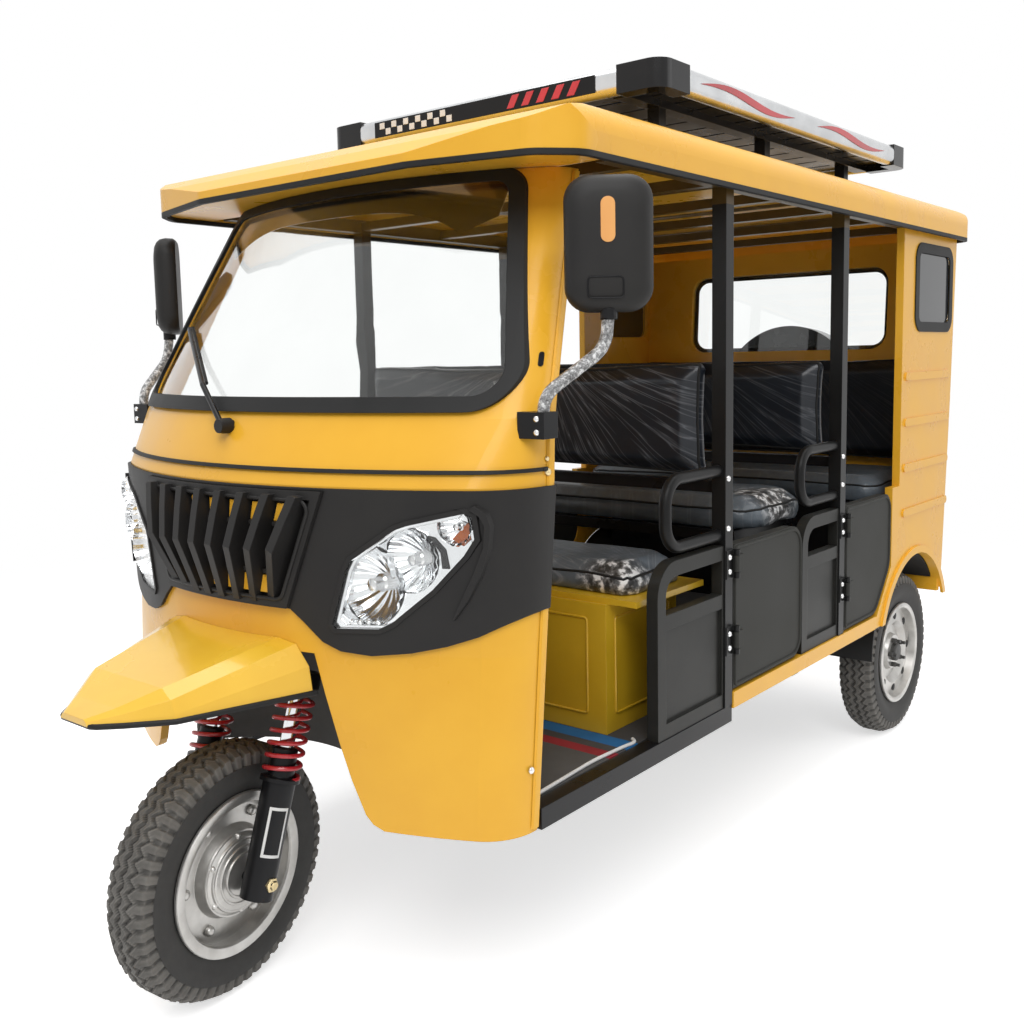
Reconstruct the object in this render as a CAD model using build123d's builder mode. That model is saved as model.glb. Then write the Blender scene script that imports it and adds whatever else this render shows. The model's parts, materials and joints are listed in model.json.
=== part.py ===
"""Passenger auto rickshaw: three wheels, open sides with low doors, hard roof and roof rack.

Millimetres, +Z up, front towards -Y, +X is the vehicle's left. The ground is z = 0 and the
origin lies under the middle of the overall box. Lengths along the vehicle are given as
stations: millimetres behind the front axle.
"""
import math
import os

from build123d import *

os.makedirs("parts", exist_ok=True)

# Overall reference
FENDER_TIP = -271.0
TAIL_END = 2819.0
FRONT_AXLE_Y = -(FENDER_TIP + TAIL_END) / 2
FIT_GAP = 0.4
UPWARD = Vector(0, 0, 1)
FORWARD = (0, -1, 0)
PRISM = 1200.0


def at(station):
    """Y of a station."""
    return FRONT_AXLE_Y + station


def along(points):
    """Side-view points (station, z) as local points of a plane that looks along X."""
    return [(at(station), z) for station, z in points]


def front_plane(station):
    """Plane across the vehicle, its normal towards the front."""
    return Plane(origin=(0, at(station), 0), x_dir=(1, 0, 0), z_dir=(0, -1, 0))


def keep(part, name):
    """Label one piece and write its file."""
    part.label = name
    export_step(part, f"parts/{name}.step")


# Wheels
TYRE_R = 270.0
FRONT_TYRE_R = 258.0
FRONT_AXLE_Z = 259.0
FRONT_AXLE = 20.0
REAR_AXLE = 2333.0
PARKED_TURN = 8.0
BEAD_R = 158.0
REAR_WHEEL_X = 518.0
AXLE_BORE_R = 10.0
HUB_BORE_R = 19.0
TYRE_SHAPE = [(-44, BEAD_R), (-47, 172), (-57, 215), (-50, 256), (-24, TYRE_R),
              (24, TYRE_R), (50, 256), (57, 215), (47, 172), (44, BEAD_R)]
FRONT_TYRE_SHAPE = [(-44, BEAD_R), (-47, 172), (-55, 208), (-48, 244), (-24, FRONT_TYRE_R),
                    (24, FRONT_TYRE_R), (48, 244), (55, 208), (47, 172), (44, BEAD_R)]
RIM_EDGE = [(-54, 151), (-54, 167), (-48, 167), (-48, BEAD_R - FIT_GAP)]
FRONT_RIM_SHAPE = RIM_EDGE + [(48, BEAD_R - FIT_GAP), (48, 167), (54, 167), (54, 151), (20, 148), (24, 96),
                              (44, 88), (58, 70), (66, AXLE_BORE_R), (-66, AXLE_BORE_R),
                              (-58, 84), (6, 96), (8, 148)]
REAR_RIM_SHAPE = RIM_EDGE + [(48, BEAD_R - FIT_GAP), (48, 167), (54, 167), (54, 151), (30, 146), (38, 104),
                             (18, 88), (18, 62), (34, 56), (34, HUB_BORE_R), (-28, HUB_BORE_R),
                             (-28, 84), (8, 100),
                             (18, 146)]

# Steering
RAKE = math.radians(18)
STEER_TRAIL = 45.0
LEG_X = 105.0
STEM_R = 18.0
HEAD_BORE_R = 20.0

# Cab plan sections: height, half width, jamb station, front centre station, arc rise, corner radius
CAB_SECTIONS = [
    dict(z=397, half=606, jamb=304, front=62, rise=168, corner=110),
    dict(z=740, half=612, jamb=330, front=62, rise=196, corner=126),
    dict(z=1050, half=616, jamb=357, front=64, rise=184, corner=150),
    dict(z=1172, half=612, jamb=367, front=122, rise=178, corner=90),
    dict(z=1654, half=517, jamb=590, front=410, rise=128, corner=60),
]
CAB_WALL = 20.0
NOSE_CURVE = 2220.0
NOSE_FRONT = 64.0

# Body
HALF = 616.0
FLOOR_TOP = 439.0
FLOOR_UNDER = 419.0
SILL_TOP = 469.0
EAVES = 1655.0
ROOF_TOP = 1752.0
ROOF_HALF = 650.0
POST = 36.0
POST_B = 1060.0
POST_C = 1738.0
ARCH_Z = 310.0
ARCH_R = 302.0
DOOR_INNER_X = 586.0
DOOR_OUTER_X = 614.0
HINGE_X = 626.0
BACK_TOP = 2684.0
BACK_FOOT = 2599.0


def cab_skin(grow, jamb_extra=0.0):
    """Solid of the cab nose, front and sides moved out by grow, rear edge moved back by jamb_extra."""
    with BuildPart(mode=Mode.PRIVATE) as skin:
        for row in CAB_SECTIONS:
            half = row["half"]
            radius = (half ** 2 + row["rise"] ** 2) / (2 * row["rise"])
            centre = row["front"] + radius
            side = half + grow
            side_start = at(centre - math.sqrt((radius + grow) ** 2 - side ** 2))
            nose = at(row["front"] - grow)
            jamb = row["jamb"] + jamb_extra
            with BuildSketch(Plane.XY.offset(row["z"])) as plan:
                with BuildLine():
                    Line((-side, at(jamb)), (side, at(jamb)))
                    Line((side, at(jamb)), (side, side_start))
                    ThreePointArc((side, side_start), (0, nose), (-side, side_start))
                    Line((-side, side_start), (-side, at(jamb)))
                make_face()
                fillet(plan.vertices().sort_by(Axis.Y)[:2], radius=max(row["corner"] + grow, 8))
        loft(ruled=True)
    return skin.part


def front_outline(points, corner=0.0, grow=0.0):
    """Face in front view through (x, z) points, corners rounded if asked, grown outwards."""
    with BuildSketch(front_plane(760), mode=Mode.PRIVATE) as outline:
        with BuildLine():
            Polyline(*points, close=True)
        make_face()
        if corner:
            fillet(outline.vertices(), radius=corner)
        if grow:
            offset(amount=grow, kind=Kind.ARC if corner else Kind.INTERSECTION)
    return outline.sketch


def cab_layer(low, high, shape, holes=()):
    """Thin layer on the cab skin between two offsets, inside the shape and outside the holes."""
    with BuildPart(mode=Mode.PRIVATE) as layer:
        add(cab_skin(high))
        add(cab_skin(low, jamb_extra=400), mode=Mode.SUBTRACT)
        extrude(shape, amount=PRISM, dir=FORWARD, mode=Mode.INTERSECT)
        for hole in holes:
            extrude(hole, amount=PRISM, dir=FORWARD, mode=Mode.SUBTRACT)
    return layer.part


# Cab front features in front view
SCREEN = [(-568, 1210), (568, 1210), (434, 1634), (-434, 1634)]
SCREEN_CORNER = 46.0
SEAL_OUT = 26.0
SEAL_IN = 3.0
MASK_LOW_EDGE = [(660, 845), (602, 808), (551, 779), (502, 761), (442, 746), (368, 736), (306, 740),
                 (268, 755),
                 (229, 788), (196, 812)]
MASK = [(-660, 1047), (660, 1047)] + MASK_LOW_EDGE + [(-x, z) for x, z in reversed(MASK_LOW_EDGE)]
GRILLE = [(-284, 1042), (284, 1042), (194, 813), (-194, 813)]
LAMP = [(542, 1016), (561, 1006), (565, 959), (546, 926), (491, 861), (416, 795), (387, 780), (295, 775),
        (284, 789),
        (316, 897), (329, 921), (416, 982), (439, 991)]
OPENING_EDGE = [(241, 728), (262, 652), (292, 554), (315, 488), (343, 424), (358, 407), (378, 398),
                (394, 380)]
WHEEL_OPENING = [(-x, z) for x, z in reversed(OPENING_EDGE)] + OPENING_EDGE
MIRROR_PAIR = Plane.YZ

lamp_left = front_outline(LAMP)
lamp_right = mirror(lamp_left, about=MIRROR_PAIR)
lens_left = front_outline(LAMP, grow=-9)
lamp_rim = cab_layer(0.5, 12, lamp_left, [front_outline(LAMP, grow=-8.5)])

# Cab shell: hollow nose with screen pillars and a shelf under the screen, open towards the driver
SHELF_LOW = 1154.0
SHELF_T = 18.0
SHELF_REAR = 320.0
with BuildPart() as cab_shell:
    add(cab_skin(0))
    add(cab_skin(-CAB_WALL, jamb_extra=60), mode=Mode.SUBTRACT)
    with BuildSketch(Plane.XY.offset(SHELF_LOW)):
        with Locations((0, at(SHELF_REAR))):
            Rectangle(1300, 400, align=(Align.CENTER, Align.MAX))
    extrude(amount=SHELF_T)
    add(cab_skin(0), mode=Mode.INTERSECT)
    screen = front_outline(SCREEN, SCREEN_CORNER)
    for opening in (screen, front_outline(WHEEL_OPENING), lamp_left, lamp_right):
        extrude(opening, amount=PRISM, dir=FORWARD, mode=Mode.SUBTRACT)
keep(cab_shell.part, "cab_shell")

# Front mask: black cheeks under the screen with room for lamps and grille
with BuildPart() as front_mask:
    add(cab_layer(0.5, 8, front_outline(MASK), [front_outline(GRILLE), lamp_left, lamp_right]))
    add(lamp_rim)
    mirror(lamp_rim, about=MIRROR_PAIR)
keep(front_mask.part, "front_mask")

# Lamp buckets set into the shell, each with a main bowl and a small outer bowl
BOWL_FORWARD = 14.0
LAMP_BOWLS = [(362, 868, 80), (442, 918, 64), (526, 982, 38)]
with BuildPart() as headlamp_buckets:
    add(cab_layer(-64, -1, front_outline(LAMP, grow=-1)))
    for bowl_x, bowl_z, bowl_r in LAMP_BOWLS:
        with Locations((bowl_x, at(NOSE_FRONT + bowl_x ** 2 / NOSE_CURVE - BOWL_FORWARD), bowl_z)):
            Sphere(bowl_r, mode=Mode.SUBTRACT)
    mirror(about=MIRROR_PAIR)
keep(headlamp_buckets.part, "headlamp_buckets")

with BuildPart() as headlamp_lenses:
    add(cab_layer(3, 9, lens_left))
    mirror(about=MIRROR_PAIR)
keep(headlamp_lenses.part, "headlamp_lenses")

# Grille: rounded frame and upright slats that come to a point at half height
SLAT_COUNT = 8
SLAT_STEP = 56.0
SLAT_WIDTH = 20.0
SLAT_MIDDLE = 930.0
SLAT_FAN = 0.0019
SLAT_SIDE = [(150, 112), (38, 112), (24, 60), (10, 0), (46, -124), (150, -124)]
with BuildPart() as front_grille:
    add(cab_layer(0.5, 16, front_outline(GRILLE, grow=-0.5), [front_outline(GRILLE, grow=-17)]))
    with BuildPart(mode=Mode.PRIVATE) as slats:
        for index in range(SLAT_COUNT):
            slat_x = (index - (SLAT_COUNT - 1) / 2) * SLAT_STEP
            setback = slat_x ** 2 / NOSE_CURVE
            fan = slat_x * SLAT_FAN
            across = (math.cos(fan), 0, -math.sin(fan))
            with BuildSketch(Plane(origin=(slat_x, 0, SLAT_MIDDLE), x_dir=(0, 1, 0), z_dir=across)):
                with BuildLine():
                    points = [(station + setback, height) for station, height in SLAT_SIDE]
                    Polyline(*along(points), close=True)
                make_face()
            extrude(amount=SLAT_WIDTH / 2, both=True)
        add(cab_skin(0.5), mode=Mode.SUBTRACT)
        extrude(front_outline(GRILLE, grow=-8), amount=PRISM, dir=FORWARD, mode=Mode.INTERSECT)
    add(slats.part)
keep(front_grille.part, "front_grille")

# Screen seal and all glass
SIDE_WINDOW = dict(front=2292, rear=2624, low=1352, high=1602, corner=38)
BACK_WINDOW = dict(half=395, low=1282, high=1576, corner=60)
SEAL_RING = 16.0
SEAL_PROUD = 4.0


def side_window(grow):
    """Rounded side window face on the plane x = 0."""
    with BuildSketch(Plane.YZ, mode=Mode.PRIVATE) as pane:
        length = SIDE_WINDOW["rear"] - SIDE_WINDOW["front"]
        height = SIDE_WINDOW["high"] - SIDE_WINDOW["low"]
        with Locations((at(SIDE_WINDOW["front"] + length / 2), SIDE_WINDOW["low"] + height / 2)):
            RectangleRounded(length + 2 * grow, height + 2 * grow, SIDE_WINDOW["corner"] + grow)
    return pane.sketch


BACK_LEAN = math.atan2(BACK_TOP - BACK_FOOT, 1650 - 440)
BACK_PLANE = Plane(origin=(0, at(BACK_FOOT), 440), x_dir=(-1, 0, 0),
                   z_dir=(0, math.cos(BACK_LEAN), -math.sin(BACK_LEAN)))
BACK_WALL = 25.0


def back_height(z):
    """Height up the leaning back wall."""
    return (z - 440) / math.cos(BACK_LEAN)


def back_window(grow):
    """Rounded back window face on the outside of the back wall."""
    with BuildSketch(BACK_PLANE, mode=Mode.PRIVATE) as pane:
        width = 2 * BACK_WINDOW["half"]
        height = BACK_WINDOW["high"] - BACK_WINDOW["low"]
        with Locations((0, back_height(BACK_WINDOW["low"] + height / 2))):
            RectangleRounded(width + 2 * grow, height + 2 * grow, BACK_WINDOW["corner"] + grow)
    return pane.sketch


BACKWARD = BACK_PLANE.z_dir
LEFT = Vector(1, 0, 0)
PANEL_T = 24.0

with BuildPart() as window_seals:
    extrude(side_window(SEAL_RING), amount=HALF + SEAL_PROUD, dir=LEFT)
    extrude(side_window(SEAL_RING + 5), amount=HALF + FIT_GAP, dir=LEFT, mode=Mode.SUBTRACT)
    extrude(side_window(-SEAL_RING), amount=HALF + 50, dir=LEFT, mode=Mode.SUBTRACT)
    mirror(about=MIRROR_PAIR)
    extrude(back_window(SEAL_RING).moved(Location(BACKWARD * FIT_GAP)), amount=SEAL_PROUD, dir=BACKWARD)
    extrude(back_window(-SEAL_RING), amount=40, dir=BACKWARD, mode=Mode.SUBTRACT)
    add(cab_layer(0.5, 10, front_outline(SCREEN, SCREEN_CORNER, SEAL_OUT),
                  [front_outline(SCREEN, SCREEN_CORNER, -SEAL_IN)]))

with BuildPart() as window_glass:
    extrude(side_window(-1).moved(Location((HALF - 10, 0, 0))), amount=5, dir=LEFT)
    mirror(about=MIRROR_PAIR)
    extrude(back_window(-1).moved(Location(BACKWARD * -10)), amount=5, dir=BACKWARD)
    add(cab_layer(-9, -3, front_outline(SCREEN, SCREEN_CORNER, -1)))
keep(window_glass.part, "window_glass")

# Front fender: pressed beak over the front wheel, hollow below. Half sections from the root to
# the nose: station, then half width and height of the lower edge, side crease, shoulder and
# plateau edge
FENDER_SECTIONS = [
    (125, (248, 650), (241, 708), (211, 754), (166, 762)),
    (-160, (152, 645), (148, 657), (138, 682), (112, 700)),
    (-226, (92, 644), (89, 651), (82, 662), (66, 671)),
    (-271, (46, 644), (44, 648), (41, 652), (34, 656)),
]
FENDER_WALL = 8.0


def fender_solid(shrink, below):
    """Solid of the fender with its skin moved in by shrink and its lower edge brought down by below."""
    with BuildPart(mode=Mode.PRIVATE) as solid:
        for station, *profile in FENDER_SECTIONS:
            low_x, low_z = profile[0]
            half = [(low_x - shrink, low_z - below)] + [(x - shrink, z - shrink) for x, z in profile[1:]]
            with BuildSketch(front_plane(station + shrink)):
                with BuildLine():
                    Polyline(*half, *[(-x, z) for x, z in reversed(half)], close=True)
                make_face()
        loft(ruled=True)
    return solid.part


with BuildPart() as front_fender:
    add(fender_solid(0, 0))
    add(fender_solid(FENDER_WALL, 30), mode=Mode.SUBTRACT)
    add(cab_skin(FIT_GAP, jamb_extra=50), mode=Mode.SUBTRACT)
keep(front_fender.part, "front_fender")

# Floor, frame and sills
RAIL_X = 330.0
RAIL_W = 40.0
RAIL_LOW = FLOOR_UNDER - 60.0
RAIL_FRONT = 346.0
RAIL_REAR = 2588.0
WELL_STATION = 20.0
WELL_R = 312.0
WELL_WALL = 8.0
WELL_TOP = 728.0
WELL_FRONT = 172.0
HEAD_HOLE = 206.0
HEAD_HOLE_R = 60.0
ENGINE = dict(half=250, front=740, rear=980, low=310, high=690)
CROSS_STATIONS = [400, 1040, 1480, 2000, 2560]
OUTRIGGER_STATIONS = [400, 1040, 1480, 1960]
BEAM_INNER = 578.0
BEAM_X = 596.0
BEAM_W = 36.0
BEAM_FRONT = 308.0
BEAM_REAR = 1062.0
BEAM_LOW = 397.0


def block(x0, x1, front, rear, z0, z1, mode=Mode.ADD):
    """Box between stations and heights."""
    with Locations(((x0 + x1) / 2, at((front + rear) / 2), (z0 + z1) / 2)):
        Box(x1 - x0, rear - front, z1 - z0, mode=mode)


with BuildPart() as floor_pan:
    block(-574, 574, 264, 2040, FLOOR_UNDER, FLOOR_TOP)
    block(-424, 424, 2040, 2560, FLOOR_UNDER, FLOOR_TOP)
    with Locations((0, at(WELL_STATION), FLOOR_UNDER)):
        Cylinder(WELL_R + WELL_WALL / 2, 100, mode=Mode.SUBTRACT)
    block(-260, 260, 732, 988, 400, 500, Mode.SUBTRACT)
    with BuildSketch(Plane.XY.offset(FLOOR_UNDER)):
        with Locations((0, at(WELL_STATION))):
            Circle(WELL_R + WELL_WALL)
            Circle(WELL_R, mode=Mode.SUBTRACT)
        with Locations((0, at(WELL_FRONT))):
            Rectangle(900, 800, align=(Align.CENTER, Align.MAX), mode=Mode.SUBTRACT)
    extrude(amount=WELL_TOP - FLOOR_UNDER)
    with BuildSketch(Plane.XY.offset(WELL_TOP - WELL_WALL)):
        with Locations((0, at(WELL_STATION))):
            Circle(WELL_R + WELL_WALL)
        with Locations((0, at(WELL_FRONT))):
            Rectangle(900, 800, align=(Align.CENTER, Align.MAX), mode=Mode.SUBTRACT)
        with Locations((0, at(HEAD_HOLE))):
            Circle(HEAD_HOLE_R, mode=Mode.SUBTRACT)
    extrude(amount=WELL_WALL)
keep(floor_pan.part, "floor_pan")

STEER_DIR = Vector(0, math.sin(RAKE), math.cos(RAKE))
FRONT_HUB = Vector(0, at(FRONT_AXLE), FRONT_AXLE_Z)
STEER_FOOT = FRONT_HUB + Vector(0, math.cos(RAKE), -math.sin(RAKE)) * STEER_TRAIL


def steer_plane(height):
    """Plane square to the steering axis, at a height along it from the wheel axle."""
    return Plane(origin=STEER_FOOT + STEER_DIR * height, x_dir=(1, 0, 0), z_dir=STEER_DIR)


NECK_SIDE = [(226, 742), (268, 872), (432, 610), (432, FLOOR_TOP), (346, FLOOR_TOP), (346, 742)]
HEAD_LOW = 452.0
HEAD_HIGH = 640.0
with BuildPart() as chassis_frame:
    for side in (-1, 1):
        rail_x = side * RAIL_X
        block(rail_x - RAIL_W / 2, rail_x + RAIL_W / 2, RAIL_FRONT, RAIL_REAR, RAIL_LOW, FLOOR_UNDER)
        for station in OUTRIGGER_STATIONS:
            inner = side * (RAIL_X + RAIL_W / 2)
            outer = side * BEAM_INNER
            block(min(inner, outer), max(inner, outer), station, station + 40, 399, FLOOR_UNDER)
    for station in CROSS_STATIONS:
        block(-RAIL_X, RAIL_X, station, station + 28, FLOOR_UNDER - 38, FLOOR_UNDER)
    with BuildSketch(Plane.YZ.offset(-25)):
        with BuildLine():
            Polyline(*along(NECK_SIDE), close=True)
        make_face()
    extrude(amount=50)
    with BuildSketch(steer_plane(HEAD_LOW)):
        Circle(32)
    extrude(amount=HEAD_HIGH - HEAD_LOW)
    with BuildSketch(steer_plane(HEAD_LOW - 60)):
        Circle(HEAD_BORE_R)
    extrude(amount=HEAD_HIGH - HEAD_LOW + 200, mode=Mode.SUBTRACT)
    for side in (-1, 1):
        beam_x = side * BEAM_X
        block(beam_x - BEAM_W / 2, beam_x + BEAM_W / 2, BEAM_FRONT, BEAM_REAR, BEAM_LOW, FLOOR_TOP)
keep(chassis_frame.part, "chassis_frame")

with BuildPart() as side_sills:
    block(BEAM_INNER, 618, 1064, 1986, 429, SILL_TOP)
    mirror(about=MIRROR_PAIR)
keep(side_sills.part, "side_sills")

with BuildPart() as engine_block:
    block(-ENGINE["half"], ENGINE["half"], ENGINE["front"], ENGINE["rear"], ENGINE["low"], ENGINE["high"])
keep(engine_block.part, "engine_block")

# Posts with the fixed halves of the door hinges
HINGE_HEIGHTS = [600.0, 785.0]
KNUCKLE_R = 7.0
KNUCKLE_HALF = 20.0
HINGE_SETBACK = 3.0
DOOR_POSTS = [POST_B, POST_C]
with BuildPart() as side_frames:
    block(HALF - POST, HALF, POST_B - POST, POST_B, FLOOR_TOP + 0.5, EAVES)
    block(HALF - POST, HALF, POST_C - POST, POST_C, SILL_TOP + 0.5, EAVES)
    for post in DOOR_POSTS:
        for height in HINGE_HEIGHTS:
            block(HALF, HALF + 3, post - 34, post + HINGE_SETBACK, height - 34, height + 34)
            for end in (-1, 1):
                with Locations((HINGE_X, at(post + HINGE_SETBACK), height + end * (KNUCKLE_HALF + 8))):
                    Cylinder(KNUCKLE_R, 13)
                    Box(HINGE_X - HALF, 6, 13, align=(Align.MAX, Align.MAX, Align.CENTER))
            block(HALF, HINGE_X + 8, post - 10, post + HINGE_SETBACK + 8, height - KNUCKLE_HALF - 1.5,
                  height + KNUCKLE_HALF + 1.5, Mode.SUBTRACT)
    mirror(about=MIRROR_PAIR)

# Grab loops and fixed side guards in front of the posts
LOOP_X = 595.0
LOOP_R = 14.0
BESIDE_B = POST_B - POST - FIT_GAP
BESIDE_C = POST_C - POST - FIT_GAP
LOOPS = [dict(post=BESIDE_B, reach=788, low=855, high=1008),
         dict(post=BESIDE_C, reach=1476, low=875, high=1016)]
LOOP_BEND = 58.0
GUARDS = [dict(front=728, rear=BESIDE_B, low=FLOOR_TOP + FIT_GAP, high=832),
          dict(front=1462, rear=BESIDE_C, low=SILL_TOP + FIT_GAP, high=838)]
GUARD_STRIP = 8.0
GUARD_TUBE = 34.0
GUARD_CORNER = 78.0
GUARD_PANEL = 0.62
with BuildPart() as side_guards:
    for loop in LOOPS:
        with BuildLine(Plane.YZ.offset(LOOP_X)) as path:
            corners = [(loop["post"], loop["high"]), (loop["reach"], loop["high"]),
                       (loop["reach"], loop["low"]), (loop["post"], loop["low"])]
            FilletPolyline(*along(corners), radius=LOOP_BEND)
        with BuildSketch(Plane(origin=path.line @ 0, z_dir=path.line % 0)):
            Circle(LOOP_R)
        sweep(path=path.line)
    for guard in GUARDS:
        length = guard["rear"] - guard["front"]
        panel_top = guard["low"] + GUARD_PANEL * (guard["high"] - guard["low"])
        with BuildSketch(Plane.YZ.offset(DOOR_INNER_X - 2)) as outline:
            with Locations((at(guard["front"]), guard["low"])):
                Rectangle(length, guard["high"] - guard["low"], align=(Align.MIN, Align.MIN))
            fillet(outline.vertices().group_by(Axis.Y)[-1].sort_by(Axis.X)[:1], radius=GUARD_CORNER)
            with BuildSketch(mode=Mode.SUBTRACT) as slot:
                with Locations((at(guard["front"] + GUARD_TUBE), panel_top + GUARD_TUBE)):
                    slot_height = guard["high"] - panel_top - 2 * GUARD_TUBE
                    Rectangle(length - GUARD_TUBE - GUARD_STRIP, slot_height, align=(Align.MIN, Align.MIN))
                slot_corner = slot.vertices().group_by(Axis.Y)[-1].sort_by(Axis.X)[:1]
                fillet(slot_corner, radius=GUARD_CORNER - GUARD_TUBE)
        extrude(amount=DOOR_OUTER_X - DOOR_INNER_X)
        block(DOOR_OUTER_X - 10, DOOR_OUTER_X + 5, guard["front"] + GUARD_TUBE, guard["rear"] - GUARD_STRIP,
              guard["low"] + GUARD_TUBE, panel_top, Mode.SUBTRACT)
    mirror(about=MIRROR_PAIR)
keep(side_guards.part, "side_guards")


def door(outline_points, corners, post):
    """Left door: flat plate with rounded free corners and hinge knuckles."""
    with BuildPart(mode=Mode.PRIVATE) as leaf:
        with BuildSketch(Plane.YZ.offset(DOOR_INNER_X)) as outline:
            with BuildLine():
                Polyline(*along(outline_points), close=True)
            make_face()
            for index, radius in corners:
                station, z = outline_points[index]
                fillet(outline.vertices().sort_by_distance((at(station), z, 0))[:1], radius=radius)
        extrude(amount=DOOR_OUTER_X - DOOR_INNER_X)
        for height in HINGE_HEIGHTS:
            block(DOOR_OUTER_X - 3, HINGE_X + 2, post + HINGE_SETBACK, post + 34, height - KNUCKLE_HALF,
                  height + KNUCKLE_HALF)
            with Locations((HINGE_X, at(post + HINGE_SETBACK), height)):
                Cylinder(KNUCKLE_R, 2 * KNUCKLE_HALF)
    return leaf.part


MID_DOOR = [(1068, 476), (1452, 476), (1452, 828), (1068, 828)]
REAR_DOOR = [(1746, 476), (1990, 476), (2105, 610), (2105, 838), (1746, 838)]
with BuildPart() as door_mid_left:
    add(door(MID_DOOR, [(1, 50), (2, 60), (3, 12)], POST_B))
keep(door_mid_left.part, "door_mid_left")
with BuildPart() as door_mid_right:
    mirror(door_mid_left.part, about=MIRROR_PAIR)
keep(door_mid_right.part, "door_mid_right")
with BuildPart() as door_rear_left:
    add(door(REAR_DOOR, [(1, 70), (2, 90), (3, 45), (4, 12)], POST_C))
keep(door_rear_left.part, "door_rear_left")
with BuildPart() as door_rear_right:
    mirror(door_rear_left.part, about=MIRROR_PAIR)
keep(door_rear_right.part, "door_rear_right")

# Rear body: side panels with pressed ribs and wheel arches, and the back wall
DOOR_GAP = 9.0
PANEL_SIDE = [(2174, EAVES - 1), (BACK_TOP, EAVES - 1), (2654, 1103), (BACK_FOOT, 440), (BACK_FOOT, 429),
              (1988, 429),
              (1988, 466), (2000, 466), (2105 + DOOR_GAP, 604), (2105 + DOOR_GAP, 852), (2174, 852)]
RIB_STATIONS = (2200, 2628)
RIB_HEIGHTS = [760, 905, 1050, 1195]
RIB_HEIGHT = 26.0
RIB_PROUD = 5.0
LIP_W = 24.0
LIP_PROUD = 7.0
with BuildPart() as rear_body:
    with BuildSketch(Plane.YZ.offset(HALF - PANEL_T)) as outline:
        with BuildLine():
            Polyline(*along(PANEL_SIDE), close=True)
        make_face()
    extrude(amount=PANEL_T)
    with BuildSketch(Plane.YZ.offset(HALF - 2)):
        with Locations((at(REAR_AXLE), ARCH_Z)):
            Circle(ARCH_R + LIP_W)
        with Locations((at(REAR_AXLE), 429)):
            Rectangle(900, 600, align=(Align.CENTER, Align.MAX), mode=Mode.SUBTRACT)
    extrude(amount=2 + LIP_PROUD)
    for height in RIB_HEIGHTS:
        with BuildSketch(Plane.YZ.offset(HALF - 2)):
            with Locations((at(sum(RIB_STATIONS) / 2), height)):
                SlotOverall(RIB_STATIONS[1] - RIB_STATIONS[0], RIB_HEIGHT)
        extrude(amount=2 + RIB_PROUD)
    with BuildSketch(Plane.YZ.offset(HALF - PANEL_T - 10)):
        with Locations((at(REAR_AXLE), ARCH_Z)):
            Circle(ARCH_R)
    extrude(amount=PANEL_T + 40, mode=Mode.SUBTRACT)
    side_cut = side_window(0).moved(Location((HALF - PANEL_T - 10, 0, 0)))
    extrude(side_cut, amount=60, dir=LEFT, mode=Mode.SUBTRACT)
    mirror(about=MIRROR_PAIR)
    with BuildSketch(BACK_PLANE):
        Rectangle(2 * HALF - 10, back_height(EAVES - 2), align=(Align.CENTER, Align.MIN))
    extrude(amount=-BACK_WALL)
    extrude(back_window(0).moved(Location(BACKWARD * -60)), amount=120, dir=BACKWARD, mode=Mode.SUBTRACT)
keep(rear_body.part, "rear_body")

LINER_INNER = 428.0
LINER_WALL = 6.0
LINER_REAR = 2568.0
with BuildPart() as wheel_arch_liners:
    with BuildSketch(Plane.YZ.offset(LINER_INNER)):
        with Locations((at(REAR_AXLE), ARCH_Z)):
            Circle(ARCH_R)
            Rectangle(900, 400, align=(Align.CENTER, Align.MAX), mode=Mode.SUBTRACT)
    extrude(amount=HALF - PANEL_T - 1 - LINER_INNER)
    with BuildSketch(Plane.YZ.offset(LINER_INNER + LINER_WALL)):
        with Locations((at(REAR_AXLE), ARCH_Z)):
            Circle(ARCH_R - LINER_WALL)
    extrude(amount=HALF, mode=Mode.SUBTRACT)
    block(LINER_INNER - 10, HALF, LINER_REAR, LINER_REAR + 200, 200, 700, Mode.SUBTRACT)
    with BuildSketch(Plane.YZ.offset(LINER_INNER - 10)):
        with Locations((at(REAR_AXLE), TYRE_R)):
            SlotCenterToCenter(80, 80, rotation=90)
    extrude(amount=30, mode=Mode.SUBTRACT)
    mirror(about=MIRROR_PAIR)
keep(wheel_arch_liners.part, "wheel_arch_liners")

# Roof: one moulding with rounded eaves and a thin visor
ROOF_FRONT = 285.0
ROOF_REAR = 2745.0
ROOF_ROUND = 62.0
ROOF_WALL = 14.0
ROOF_PLAN = [(-650, ROOF_REAR), (650, ROOF_REAR), (650, 424), (585, 350), (330, ROOF_FRONT),
             (-330, ROOF_FRONT), (-585, 350), (-650, 424)]
ROOF_PLAN_CORNER = 70.0
ROOF_SIDE = [(ROOF_FRONT, EAVES), (ROOF_FRONT, 1671), (330, 1702), (400, 1733), (500, ROOF_TOP),
             (2660, ROOF_TOP),
             (2715, 1738), (ROOF_REAR, 1712), (ROOF_REAR, EAVES)]
ROOF_HOLLOW_SIDE = [(540, EAVES - 10), (540, 1716), (600, ROOF_TOP - ROOF_WALL), (2650, ROOF_TOP - ROOF_WALL),
                    (ROOF_REAR - 30, 1720), (ROOF_REAR - 30, EAVES - 10)]


def roof_plan(height, inset=0.0):
    """Face of the roof seen from above, its front swept back at the corners, drawn in by the inset."""
    with BuildSketch(Plane.XY.offset(height), mode=Mode.PRIVATE) as plan:
        with BuildLine():
            Polyline(*[(x, at(station)) for x, station in ROOF_PLAN], close=True)
        make_face()
        fillet(plan.vertices(), radius=ROOF_PLAN_CORNER)
        if inset:
            offset(amount=-inset, mode=Mode.REPLACE)
    return plan.sketch


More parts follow.
